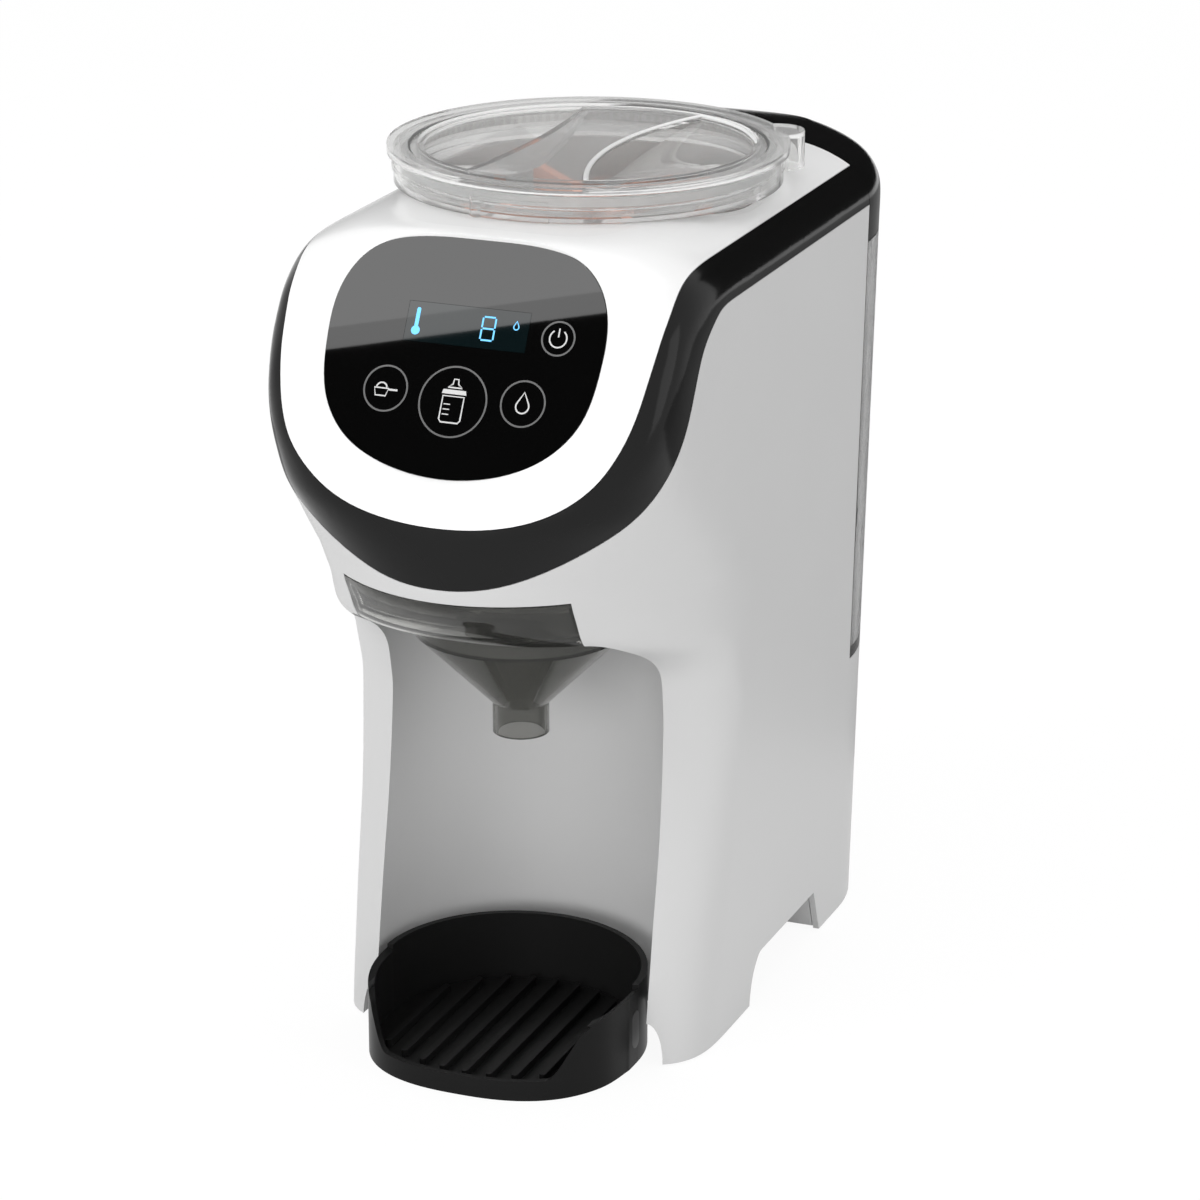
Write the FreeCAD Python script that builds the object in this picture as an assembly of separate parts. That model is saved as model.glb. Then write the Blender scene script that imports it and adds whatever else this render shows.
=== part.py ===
"""Baby formula maker: a countertop machine that heats water, doses powder and fills a bottle.

Millimetres. The origin is on the ground under the middle of the machine.
+X is the right of someone who stands in front of it, -Y is its front and +Z is up.
"""
import FreeCAD, Part
import math
import os
from FreeCAD import Vector, Placement, Rotation

# ---------------------------------------------------------------- driving dimensions
HEIGHT = 341.5            # ground to the top of the powder lid
DECK_Z = 327.0            # flat top of the white cover
EDGE_Z = 318.5            # where the top cover meets the black trim at the sides
SHOULDER_Z = 303.3        # widest level of the body
HALF_WIDTH = 83.0         # half width at the shoulder
BASE_HALF_WIDTH = 75.8    # half width at the ground
DECK_HALF_WIDTH = 74.5    # half width at the edge of the top cover
CROWN_FLAT = 44.5         # half width of the flat of the deck
REAR_Y = 78.1             # axis of the round back, and the front plane of the tank
WALL = 2.5                # moulded wall
SEAM = 0.12               # half of a seam between two shells
FIT = 0.3                 # gap between pieces that lie beside each other
RUN = 0.05                # radial running clearance of shafts

# bay for the bottle, arch under the body
BAY_HALF = 57.0
BAY_Y = -84.0             # centre of the bay's round back
BAY_TOP = 181.1
BAY_ROUND = 12.0
ARCH_Z = 20.5
ARCH_FRONT_Y = -30.0
ARCH_FRONT_RUN = 13.0
ARCH_REAR_Y = 44.4
ARCH_REAR_RUN = 9.0
LEG_NOTCH = (6.5, 17.0)   # half axes of the small arch on the inside of each leg
SKIRT_Z = 0.8             # housing's lower rim above the ground

# powder container, its lid and its well
LID_Y = -12.6             # axis of container, mixing wheel and lid
LID_R = 77.0
LID_THICK = 3.0
LID_RECESS_R = 65.0
LID_RECESS = 1.2
LID_WALL = 2.0
GRIP_RIGHT = (10.8, 140.0)   # edge of the lid's grip bar: distance from the lid's axis, radius
GRIP_LEFT = (22.0, 400.0)
TIER_R = 74.5
BOWL_R = 65.5
BOWL_WALL = 2.2
BOWL_Z = 243.0
WELL_R = 68.4
WELL_Z = 238.0
POST_R = 9.0
OUTLET_Y = -60.0          # powder outlet in the container's floor
OUTLET_R = 8.0
TAB_ANGLE = 36.0
TAB_R = 10.5
TAB_DEPTH = 14.0

# mixing drive
GEAR_MODULE = 1.25
GEAR_TEETH = 36
PINION_TEETH = 12
GEAR_Z = 218.0
GEAR_THICK = 8.0
SHAFT_R = 4.0
MOTOR_SHAFT_R = 2.0
MOTOR_R = 18.0
MOTOR_Z = 152.0
CASE_Z = 212.0
DOG_R = 5.5

# water tank and its dock
TANK_Z = 111.9
TANK_TOP = 288.0
SHELF_Z = 111.5
TANK_GAP = 0.4
TANK_FALL_R = 380.0       # radius of the tank lid's top, seen from the side
PORT_Y = 100.0
STEM_R = 1.8

# funnel drawer
FUNNEL_Y = -81.4
FUNNEL_HALF = 45.2
FUNNEL_TOP = 201.1
FUNNEL_BOWL_R = 41.0
FUNNEL_BOWL_Z = 167.6
SPOUT_R = 10.9
SPOUT_TOP = 137.5
SPOUT_Z = 125.5
FUNNEL_WALL = 2.0
FUNNEL_BACK_Y = -22.0
FUNNEL_FLOOR_Z = BAY_TOP + WALL + 0.2

# drip tray
TRAY_R = 53.0
TRAY_Y = -92.6
TRAY_TOP = 32.0
TRAY_LIP = 8.0
TRAY_WALL = 2.5
TRAY_FLOOR = 4.0
TRAY_RIBS = 9

# control panel: a flat glossy plate on the slanted face
PANEL_FOOT = Vector(0, -155.4, 247.9)
PANEL_RISE = Vector(0, 43.3, 78.7)
PANEL_THICK = 2.6
PANEL_PROUD = 0.4
KEY_TRAVEL = 0.8
RING_WIDTH = 0.7
# name: (across, up the panel, radius)
KEYS = {
    "start_key": (0.0, 28.4, 13.4),
    "amount_key": (27.0, 30.6, 8.8),
    "powder_key": (-27.0, 30.6, 8.8),
    "power_key": (35.8, 55.7, 6.6),
}
WINDOW = (-24.0, 49.0, 24.0, 64.0)   # display window: left, bottom, right, top

# smaller pieces
TIER_Z = 327.3
BEAD_Z = 332.6
BOSS_HOLE_R = 8.05
WHEEL_TOP = 320.0
PLUG_R = 69.0
PLUG_Z = 331.0
SEAL_R = 71.7
SEAL_Z = 333.0
POCKET_R = 63.0
POCKET_DEPTH = 15.0       # at the lid's axis
POCKET_SHALLOW = 2.5      # at the pockets' rim
TAB_CENTRE_R = 75.0
CHUTE_R = 10.0
NOZZLE_R = 5.0
NOZZLE_Y = -100.0
PINION_Y = LID_Y + GEAR_MODULE * (GEAR_TEETH + PINION_TEETH) / 2
PRESSURE_ANGLE = math.radians(25)
GEAR_ADDENDUM = 0.8
GEAR_DEDENDUM = 1.05
GEAR_BACKLASH = 0.15
CASE_R = 26.5
BUSH_R = 7.0
DOG_Z = 241.0
DOG_TOP = 247.0
FUNNEL_SLOT_R = FUNNEL_BOWL_R + 0.8
FUNNEL_MOUTH_Y = -124.0
FUNNEL_FRONT_Y = -152.0
DOCK_R = 8.8
DOCK_SPIGOT_Z = 96.0
DOCK_HOLE_X = 2.2
STEM_Z = 114.9
VALVE_R = 6.5
VALVE_Z = 116.0
CAGE_R = 9.5
CAGE_TOP = 130.0
PORT_RECESS_R = 9.0
TANK_FLOOR_Z = TANK_Z + 4.0
SPRING_R = 4.5
SPRING_TURNS = 4
SPRING_LEAF = 0.8
HOSE_R = 4.0
HOSE_BORE = 2.8
HOSE_BEND = 12.0
PUMP = (30.0, 10.0, 28.5)
HEATER = (46.0, 50.0, 120.0)
INLET_Y = 153.4
INLET_Z = 45.0
INLET_HALF_X = 14.0
INLET_HALF_Z = 10.0
INLET_DEPTH = 17.0
PANEL_HALF = 53.8
PANEL_BACK = PANEL_PROUD - PANEL_THICK
PANEL_GAP = 0.2
KEY_GAP = 0.15
BOARD = (-44.0, 12.0, 44.0, 76.0)
BOARD_Z = -6.4
BOARD_THICK = 1.6
BOARD_POSTS = [(-36.0, 18.0), (36.0, 18.0), (-40.0, 70.0), (40.0, 70.0)]
BOARD_POST_R = 2.2
SWITCH_Z = -5.0
WINDOW_THICK = 1.0
BASE_Z = 2.0
BASE_THICK = 2.5
LEG_FOOT_R = 3.0
LEG_FOOT_X = 69.4
LEG_FEET_Y = (-66.0, -42.0)
REAR_FOOT_R = 8.0
REAR_FOOT = (48.0, 118.0)
REAR_SCREWS = [(-48.0, 98.0), (48.0, 98.0), (-24.0, 128.0), (24.0, 128.0)]
SCREW_R = 1.6
SCREW_HEAD_R = 3.0
SCREW_HEAD = 1.8
BOSS_R = 4.5
TRAY_POWER = 2.5
TRAY_LIP_HALF = 33.0
TRAY_LIP_RUN = 15.0
TRAY_LIP_RISE = 20.0
TONGUE = (6.0, 20.0, 26.0)   # tray's tongue against the back of the bay: half width, bottom, top
RIB_PITCH = 9.6
RIB_HALF = 1.3
RIB_TOP = 7.0
RIB_REACH = 45.4

# Heights of the sections that the skin runs through
LEVELS = [
    -3, 12, 27, 42, 57, 72, 87, 101, 114, 126, 136, 145, 153, 160.5, 168, 175.5, 183, 191, 199,
    207.5, 216.5, 226, 235.5, 245, 255, 265, 275, 285, 294, 302, 308, 312.5, 316, 319, 321.5,
    323.5, 325, 326.1, 326.7, 327,
]
# How far the inner face of the wall is lowered below the outer one: (z, drop)
WALL_DROP = [(140.0, 0.0), (168.0, -2.2), (182.0, -2.2), (200.0, 0.0), (SHOULDER_Z, 0.0), (EDGE_Z, WALL)]

# Where the straight sides end and the face begins: (z, y)
SIDE_END = [(136.0, -46.3), (154.0, -50.0), (173.5, -44.0), (186.0, -43.0), (202.0, -61.0), (230.7, -73.5)]
# Front line of the body from the ground up, as seen from the side: (z, y, flat half width, corner power)
FRONT = [
    (0.0, -100.5, 0.0, 4.6),
    (50.0, -92.8, 0.0, 3.8),
    (100.0, -85.0, 0.0, 2.95),
    (136.0, -82.4, 0.0, 2.7),
    (154.0, -85.0, 0.0, 2.9),
    (165.5, -101.2, 0.0, 2.95),
    (173.5, -122.6, 0.0, 2.65),
    (180.0, -139.6, 0.0, 2.32),
    (186.0, -147.0, 0.0, 2.2),
    (202.0, -159.1, 0.0, 1.94),
    (216.5, -160.9, 0.0, 2.25),
    (230.7, -161.1, 10.0, 2.65),
    (239.1, -158.2, 16.0, 3.15),
    (252.4, -153.3, 32.0, 3.75),
    (267.7, -144.5, 45.0, 4.85),
    (283.5, -135.8, 50.0, 5.7),
    (299.1, -127.2, 50.0, 4.7),
    (306.5, -123.2, 50.0, 3.6),
    (313.3, -119.4, 50.0, 3.1),
    (318.5, -116.6, 46.0, 2.9),
    (323.0, -113.6, 38.0, 2.7),
    (325.5, -110.4, 32.0, 2.5),
    (326.6, -106.6, 26.0, 2.3),
    (327.0, -101.0, 22.0, 2.2),
]

# Lower edge of the black trim on the right half, seen square on to the front right corner:
# (across = (x + y) / root 2, z)
TRIM_LOWER = [
    (7.0, 303.3), (-6.5, 300.6), (-14.5, 293.0), (-20.0, 282.0), (-26.8, 263.7),
    (-44.4, 239.9), (-67.6, 222.9), (-90.7, 211.0), (-112.5, 207.2),
]
# Upper edge of the trim on the right half, seen from the front: (x, z)
TRIM_UPPER = [
    (0.0, 230.7), (22.0, 232.6), (43.3, 239.1), (60.4, 252.4), (68.4, 267.7),
    (71.9, 283.5), (73.9, 301.0), (DECK_HALF_WIDTH, 316.0),
]
# Right half of the panel's outline in its own plane: (across, up)
PANEL_OUTLINE = [
    (0.0, 0.0), (24.8, 4.0), (41.0, 13.2), (50.3, 26.6), (53.8, 46.0),
    (53.0, 64.0), (48.6, 75.0), (40.0, 83.6), (26.0, 87.9), (0.0, 88.9),
]

PLAN_FINE = 90            # fineness of the plan outline before it is spaced evenly
PLAN_STEPS = 13           # points on each half of the plan outline's front
UP = Vector(0, 0, 1)
RIGHT = Vector(1, 0, 0)
FORWARD = Vector(0, -1, 0)
FAR = 400.0


# ---------------------------------------------------------------- small helpers
def box(x0, y0, z0, x1, y1, z1):
    return Part.makeBox(x1 - x0, y1 - y0, z1 - z0, Vector(x0, y0, z0))


def rod(radius, z0, z1, x=0.0, y=0.0):
    return Part.makeCylinder(radius, z1 - z0, Vector(x, y, z0))


def ring(outer, inner, z0, z1, x=0.0, y=0.0):
    return rod(outer, z0, z1, x, y).cut(rod(inner, z0 - 1, z1 + 1, x, y))


def turned(profile, x=0.0, y=0.0):
    """Solid of revolution about a vertical axis from (radius, z) points."""
    points = [Vector(r, 0, z) for r, z in profile]
    face = Part.Face(Part.makePolygon(points + points[:1]))
    solid = face.revolve(Vector(0, 0, 0), UP, 360)
    solid.translate(Vector(x, y, 0))
    return solid


def fuse(first, *others):
    shape = first
    for other in others:
        shape = shape.fuse(other)
    return shape.removeSplitter()


def cut(shape, *tools):
    for tool in tools:
        shape = shape.cut(tool)
    return shape


def group(shapes):
    return Part.makeCompound(shapes)


def polygon_prism(points, direction):
    return Part.Face(Part.makePolygon(points + points[:1])).extrude(direction)


def mirrored(shape):
    """The same shape on the machine's other side."""
    return shape.mirror(Vector(0, 0, 0), RIGHT)


def blend(table, z, column):
    """Value of a column of a table of rows that start with z, on a smooth monotone curve."""
    rows = [(row[0], row[column]) for row in table]
    if z <= rows[0][0]:
        return rows[0][1]
    if z >= rows[-1][0]:
        return rows[-1][1]
    slopes = [(b[1] - a[1]) / (b[0] - a[0]) for a, b in zip(rows, rows[1:])]
    tangents = [slopes[0]]
    for before, after in zip(slopes, slopes[1:]):
        same_way = before * after > 0
        tangents.append(2 * before * after / (before + after) if same_way else 0.0)
    tangents.append(slopes[-1])
    i = max(k for k, row in enumerate(rows[:-1]) if row[0] <= z)
    (z0, v0), (z1, v1) = rows[i], rows[i + 1]
    h = z1 - z0
    t = (z - z0) / h
    return ((2 * t**3 - 3 * t**2 + 1) * v0 + (t**3 - 2 * t**2 + t) * h * tangents[i]
            + (-2 * t**3 + 3 * t**2) * v1 + (t**3 - t**2) * h * tangents[i + 1])


def evenly(points, count):
    """Points at even distances along a polyline, ends included."""
    reach = [0.0]
    for a, b in zip(points, points[1:]):
        reach.append(reach[-1] + math.dist(a, b))
    result = []
    k = 0
    for i in range(count + 1):
        goal = reach[-1] * i / count
        while k < len(points) - 2 and reach[k + 1] < goal:
            k += 1
        t = (goal - reach[k]) / max(reach[k + 1] - reach[k], 1e-9)
        t = min(t, 1.0)
        result.append(tuple(u + (v - u) * t for u, v in zip(points[k], points[k + 1])))
    return result


# ---------------------------------------------------------------- the body's outer skin
def half_width(z):
    """Half width of the body, and the radius of its round back, at a height."""
    if z <= SHOULDER_Z:
        return BASE_HALF_WIDTH + (HALF_WIDTH - BASE_HALF_WIDTH) * z / SHOULDER_Z
    run, rise = HALF_WIDTH - DECK_HALF_WIDTH, EDGE_Z - SHOULDER_Z
    shoulder_r = (run**2 + rise**2) / (2 * run)
    if z <= EDGE_Z:
        return HALF_WIDTH - shoulder_r + math.sqrt(shoulder_r**2 - (z - SHOULDER_Z)**2)
    run, rise = DECK_HALF_WIDTH - CROWN_FLAT, DECK_Z - EDGE_Z
    crown_r = (run**2 + rise**2) / (2 * rise)
    return CROWN_FLAT + math.sqrt(max(crown_r**2 - (z - DECK_Z + crown_r)**2, 0.0))


def plan(z, inset=0.0, level=None):
    """Closed plan outline of the skin at height z, drawn in by inset, at the given level."""
    level = z if level is None else level
    width = half_width(z) - inset
    start = blend(SIDE_END, z, 1)
    front = blend(FRONT, z, 1) + inset
    flat = max(blend(FRONT, z, 2) - inset, 0.0)
    power = blend(FRONT, z, 3)
    fine = [(0.0, front)]
    for i in range(PLAN_FINE + 1):
        angle = math.pi / 2 * i / PLAN_FINE
        s, c = math.sin(angle), math.cos(angle)
        reach = (s**power + c**power)**(-1 / power)
        fine.append((flat + (width - flat) * reach * s, start + (front - start) * reach * c))
    right = [Vector(x, y, level) for x, y in evenly(fine, PLAN_STEPS)]
    left = [Vector(-point.x, point.y, level) for point in reversed(right[1:])]
    count = 2 * PLAN_STEPS
    curve = Part.BSplineCurve()
    curve.interpolate(Points=left + right, Parameters=[i / count for i in range(count + 1)])
    back_right, back_left = Vector(width, REAR_Y, level), Vector(-width, REAR_Y, level)
    edges = [
        curve.toShape(),
        Part.makeLine(right[-1], back_right),
        Part.Arc(back_right, Vector(0, REAR_Y + width, level), back_left).toShape(),
        Part.makeLine(back_left, left[0]),
    ]
    return Part.Wire(edges)


def skin(inset=0.0):
    """Solid bounded by the body's outer surface, drawn in by inset."""
    wires = []
    for z in LEVELS:
        near_top = min(max((z - SHOULDER_Z) / (EDGE_Z - SHOULDER_Z), 0.0), 1.0)
        drop = blend(WALL_DROP, z, 1) * inset / WALL
        wires.append(plan(z, inset * (1 - 0.5 * near_top), z - drop))
    return Part.makeLoft(wires, True, False)


# ---------------------------------------------------------------- zones that split the skin
def spline_through(points, start, end):
    curve = Part.BSplineCurve()
    curve.interpolate(Points=points, InitialTangent=start, FinalTangent=end)
    return curve.toShape()


def trim_zone(grow):
    """Everything above the trim's lower edge, grown outwards."""
    across = Vector(1, 1, 0).normalize()
    inward = Vector(-1, 1, 0).normalize()
    points = [across * (s + grow) + UP * (z - grow) for s, z in reversed(TRIM_LOWER)]
    low, high = points[0], points[-1]
    rest = Part.makePolygon([
        high,
        high + across * FAR,
        high + across * FAR + UP * FAR,
        low - across * FAR + UP * FAR,
        low - across * FAR,
        low,
    ])
    face = Part.Face(Part.Wire([spline_through(points, across, across)] + rest.Edges))
    face.translate(inward * -FAR)
    right = face.extrude(inward * (2 * FAR)).common(box(0, -FAR, 0, FAR, FAR, FAR))
    return right.fuse(mirrored(right)).removeSplitter()


def cover_zone(grow):
    """Prism along Y inside the trim's upper edge, grown outwards."""
    low_z = TRIM_UPPER[0][1]
    wide = (DECK_HALF_WIDTH + grow) / DECK_HALF_WIDTH
    tall = (DECK_Z - low_z + grow) / (DECK_Z - low_z)
    right = [Vector(x * wide, -FAR, DECK_Z - (DECK_Z - z) * tall) for x, z in TRIM_UPPER]
    left = [Vector(-p.x, p.y, p.z) for p in reversed(right[1:])]
    edge = spline_through(left + right, Vector(0, 0, -1), Vector(0, 0, 1))
    rest = Part.makePolygon([right[-1], right[-1] + UP * FAR, left[0] + UP * FAR, left[0]])
    return Part.Face(Part.Wire([edge] + rest.Edges)).extrude(Vector(0, FAR + REAR_Y, 0))


def bay(grow=0.0):
    """The space for a bottle: a doorway with rounded upper corners and a round back."""
    half, top, corner = BAY_HALF + grow, BAY_TOP + grow, BAY_ROUND + grow
    bend = corner * (1 - math.sqrt(0.5))
    side, ceiling = Vector(half, 0, top - corner), Vector(half - corner, 0, top)
    middle = Vector(half - bend, 0, top - bend)
    straight = Part.makePolygon([ceiling, Vector(0, 0, top), Vector(0, 0, -10), Vector(half, 0, -10), side])
    face = Part.Face(Part.Wire(straight.Edges + [Part.Arc(side, middle, ceiling).toShape()]))
    door = face.extrude(Vector(0, -FAR, 0))
    shape = fuse(face.revolve(Vector(0, 0, 0), UP, 360), door, mirrored(door))
    shape.translate(Vector(0, BAY_Y, 0))
    return shape


def arch(grow=0.0):
    """The tunnel from side to side under the body."""
    run, top = ARCH_FRONT_RUN + grow, ARCH_Z + grow
    centre = Vector(-FAR, ARCH_FRONT_Y + ARCH_FRONT_RUN, 0)
    quarter = [centre + Vector(0, -run * math.cos(i * math.pi / 8), top * math.sin(i * math.pi / 8))
               for i in range(5)]
    rest = Part.makePolygon([
        quarter[-1],
        Vector(-FAR, ARCH_REAR_Y + grow / 2, top),
        Vector(-FAR, ARCH_REAR_Y + ARCH_REAR_RUN + grow, 0),
        Vector(-FAR, ARCH_REAR_Y + ARCH_REAR_RUN + grow, -10),
        quarter[0] - UP * 10,
        quarter[0],
    ])
    curve = spline_through(quarter, UP, Vector(0, 1, 0))
    return Part.Face(Part.Wire([curve] + rest.Edges)).extrude(RIGHT * (2 * FAR))


def leg_notches(grow=0.0):
    """The small arches along the insides of the legs."""
    half, rise = LEG_NOTCH[0] + grow, LEG_NOTCH[1] + grow
    ellipse = Part.Ellipse(Vector(0, 0, 0), rise, half).toShape()
    tool = Part.Face(Part.Wire(ellipse)).extrude(UP * (FAR + ARCH_FRONT_Y))
    tool.Placement = Placement(Vector(BAY_HALF, -FAR, 0), Rotation(UP, Vector(-1, 0, 0), FORWARD * -1))
    return fuse(tool, mirrored(tool))


def chamber(grow=0.0):
    """The space that the funnel drawer slides into."""
    half = FUNNEL_HALF + FIT + grow
    return box(-half, -FAR, BAY_TOP + WALL, half, FUNNEL_BACK_Y + FIT + grow, FUNNEL_TOP + 2 * FIT + grow)


def tank_bay(grow=0.0):
    return box(-FAR, REAR_Y - grow, SHELF_Z - grow, FAR, FAR, FAR)


def whole(shape):
    """The biggest solid of a shape, without slivers."""
    return max(shape.removeSplitter().Solids, key=lambda solid: solid.Volume)


# ---------------------------------------------------------------- body shells
def body_shell(outer, inner):
    cavity = cut(inner, bay(WALL), tank_bay(WALL), chamber(WALL), leg_notches(WALL))
    ground = box(-FAR, -FAR, -FAR, FAR, FAR, SKIRT_Z)
    return cut(outer, cavity, bay(), tank_bay(), arch(), leg_notches(), ground)


def main_housing(shell):
    slot = fuse(
        box(-FUNNEL_SLOT_R, -FAR, BAY_TOP - 1, FUNNEL_SLOT_R, FUNNEL_Y, BAY_TOP + WALL + 1),
        rod(FUNNEL_SLOT_R, BAY_TOP - 1, BAY_TOP + WALL + 1, 0, FUNNEL_Y),
    )
    half = FUNNEL_HALF + FIT
    mouth = box(-half, -FAR, BAY_TOP - 8, half, FUNNEL_MOUTH_Y, FUNNEL_TOP + 2 * FIT)
    ceiling = FUNNEL_TOP
    chute_hole = rod(CHUTE_R + FIT, ceiling - 1, ceiling + 5, 0, OUTLET_Y)
    nozzle_hole = rod(NOZZLE_R + FIT, ceiling - 1, ceiling + 5, 0, NOZZLE_Y)
    dock_hole = rod(DOCK_R + FIT, SHELF_Z - WALL - 1, SHELF_Z + 1, 0, PORT_Y)
    x, y, z = INLET_HALF_X + FIT, INLET_Y - 15, INLET_HALF_Z + FIT
    inlet_hole = box(-x, y, INLET_Z - z, x, FAR, INLET_Z + z)
    holes = (slot, mouth, chute_hole, nozzle_hole, dock_hole, inlet_hole)
    shape = cut(shell, trim_zone(SEAM), chamber(), *holes)
    for x, y in REAR_SCREWS:
        shape = shape.fuse(ring(BOSS_R, SCREW_R, BASE_Z + BASE_THICK + FIT, SHELF_Z - WALL + 0.5, x, y))
    return whole(shape)


def trim_band(upper):
    return whole(cut(upper, cover_zone(SEAM)))


def top_cover(upper):
    shape = upper.common(cover_zone(-SEAM))
    shape = cut(shape, rod(WELL_R, WELL_Z, HEIGHT, 0, LID_Y), on_panel(panel_prism(PANEL_GAP, -9, 9)))
    ledge = panel_prism(PANEL_GAP + 2, PANEL_BACK - WALL, PANEL_BACK - 0.1)
    ledge = ledge.cut(panel_prism(-3, PANEL_BACK - WALL - 1, PANEL_BACK + 1))
    return whole(shape.fuse(on_panel(ledge)))


def base_plate():
    """Floor of the legs and the rear, and the lining of the arch between them."""
    floor = box(-FAR, -FAR, BASE_Z, FAR, FAR, BASE_Z + BASE_THICK)
    lining = arch(WALL).common(box(-FAR, -FAR, BASE_Z, FAR, FAR, FAR))
    shape = floor.fuse(lining).cut(arch())
    shape = shape.common(skin(WALL + FIT))
    shape = cut(shape, bay(WALL + FIT), leg_notches(WALL + FIT))
    for x, y in REAR_SCREWS:
        shape = shape.cut(rod(SCREW_R + 0.2, 0, 10, x, y))
        shape = shape.cut(rod(SCREW_HEAD_R + 0.2, 0, BASE_Z + SCREW_HEAD, x, y))
    return group([solid for solid in shape.removeSplitter().Solids if solid.Volume > 50])


def rubber_feet():
    feet = [rod(LEG_FOOT_R, 0, BASE_Z, side * LEG_FOOT_X, y) for side in (-1, 1) for y in LEG_FEET_Y]
    feet += [rod(REAR_FOOT_R, 0, BASE_Z, side * REAR_FOOT[0], REAR_FOOT[1]) for side in (-1, 1)]
    return group(feet)


def base_screws():
    screws = []
    for x, y in REAR_SCREWS:
        head = rod(SCREW_HEAD_R, BASE_Z + 0.2, BASE_Z + SCREW_HEAD, x, y)
        slot = box(x - 2.2, y - 0.4, BASE_Z, x + 2.2, y + 0.4, BASE_Z + 0.9)
        screws.append(head.fuse(rod(SCREW_R, BASE_Z + SCREW_HEAD, BASE_Z + 14, x, y)).cut(slot))
    return group(screws)


# ---------------------------------------------------------------- control panel
def on_panel(shape):
    """Shape drawn in the panel's plane (x across, y up the panel, z outwards), put in its place."""
    tilt = math.degrees(math.atan2(PANEL_RISE.z, PANEL_RISE.y))
    placed = shape.copy()
    placed.Placement = Placement(PANEL_FOOT, Rotation(RIGHT, tilt)).multiply(placed.Placement)
    return placed


def panel_prism(grow, z0, z1):
    """Prism of the panel's outline, with the outline grown outwards."""
    middle = PANEL_OUTLINE[-1][1] / 2
    wide = 1 + grow / PANEL_HALF
    tall = 1 + grow / middle
    right = [Vector(x * wide, middle + (y - middle) * tall, z0) for x, y in PANEL_OUTLINE]
    left = [Vector(-p.x, p.y, z0) for p in reversed(right[1:-1])]
    curve = Part.BSplineCurve()
    curve.interpolate(Points=right + left, PeriodicFlag=True)
    return Part.Face(Part.Wire(curve.toShape())).extrude(UP * (z1 - z0))


def control_panel():
    plate = panel_prism(0, PANEL_BACK, PANEL_PROUD)
    for x, y, radius in KEYS.values():
        plate = plate.cut(rod(radius, PANEL_BACK - 1, 2, x, y))
    left, low, right, high = WINDOW
    plate = plate.cut(box(left, low, PANEL_BACK - 1, right, high, 2))
    for x, y in BOARD_POSTS:
        plate = plate.fuse(rod(BOARD_POST_R, BOARD_Z, PANEL_BACK + 0.5, x, y))
    return on_panel(plate)


def display_window():
    left, low, right, high = WINDOW
    back = PANEL_PROUD - WINDOW_THICK
    return on_panel(box(left + 0.1, low + 0.1, back, right - 0.1, high - 0.1, PANEL_PROUD))


def display_module():
    left, low, right, high = WINDOW
    module = box(left + 0.5, low + 0.5, BOARD_Z, right - 0.5, high - 0.5, PANEL_PROUD - WINDOW_THICK - 0.1)
    return on_panel(module)


def control_board():
    left, low, right, high = BOARD
    return on_panel(box(left, low, BOARD_Z - BOARD_THICK, right, high, BOARD_Z))


def key_switches():
    switches = []
    for x, y, radius in KEYS.values():
        body = box(x - 3, y - 3, BOARD_Z, x + 3, y + 3, SWITCH_Z - 0.3)
        switches.append(body.fuse(rod(1.5, SWITCH_Z - 0.3, SWITCH_Z, x, y)))
    return on_panel(group(switches))


def key_rings():
    rings = [ring(radius - 0.05, radius - RING_WIDTH, PANEL_PROUD - 1.2, PANEL_PROUD, x, y)
             for x, y, radius in KEYS.values()]
    return on_panel(group(rings))


def key(name):
    """Round key in its ring, with a collar behind the panel and a stem over its switch."""
    x, y, radius = KEYS[name]
    cap = radius - RING_WIDTH - KEY_GAP
    shape = fuse(
        rod(cap, PANEL_BACK - 0.8, PANEL_PROUD, x, y),
        rod(radius + 0.8, PANEL_BACK - 1.6, PANEL_BACK - 0.6, x, y),
        rod(1.5, SWITCH_Z + KEY_TRAVEL + 0.2, PANEL_BACK - 1.6, x, y),
    )
    return on_panel(shape)


# ---------------------------------------------------------------- powder side
def powder_well(outer):
    cup = rod(WELL_R - 0.2, WELL_Z, HEIGHT, 0, LID_Y).cut(rod(WELL_R - 2.2, WELL_Z + 2, HEIGHT, 0, LID_Y))
    cup = cut(
        cup,
        rod(BUSH_R + RUN, WELL_Z - 1, WELL_Z + 3, 0, LID_Y),
        rod(CHUTE_R - 1.5, WELL_Z - 1, WELL_Z + 3, 0, OUTLET_Y),
    )
    below = outer.copy()
    below.translate(Vector(0, 0, -0.3))
    return whole(cup.common(below))


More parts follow.
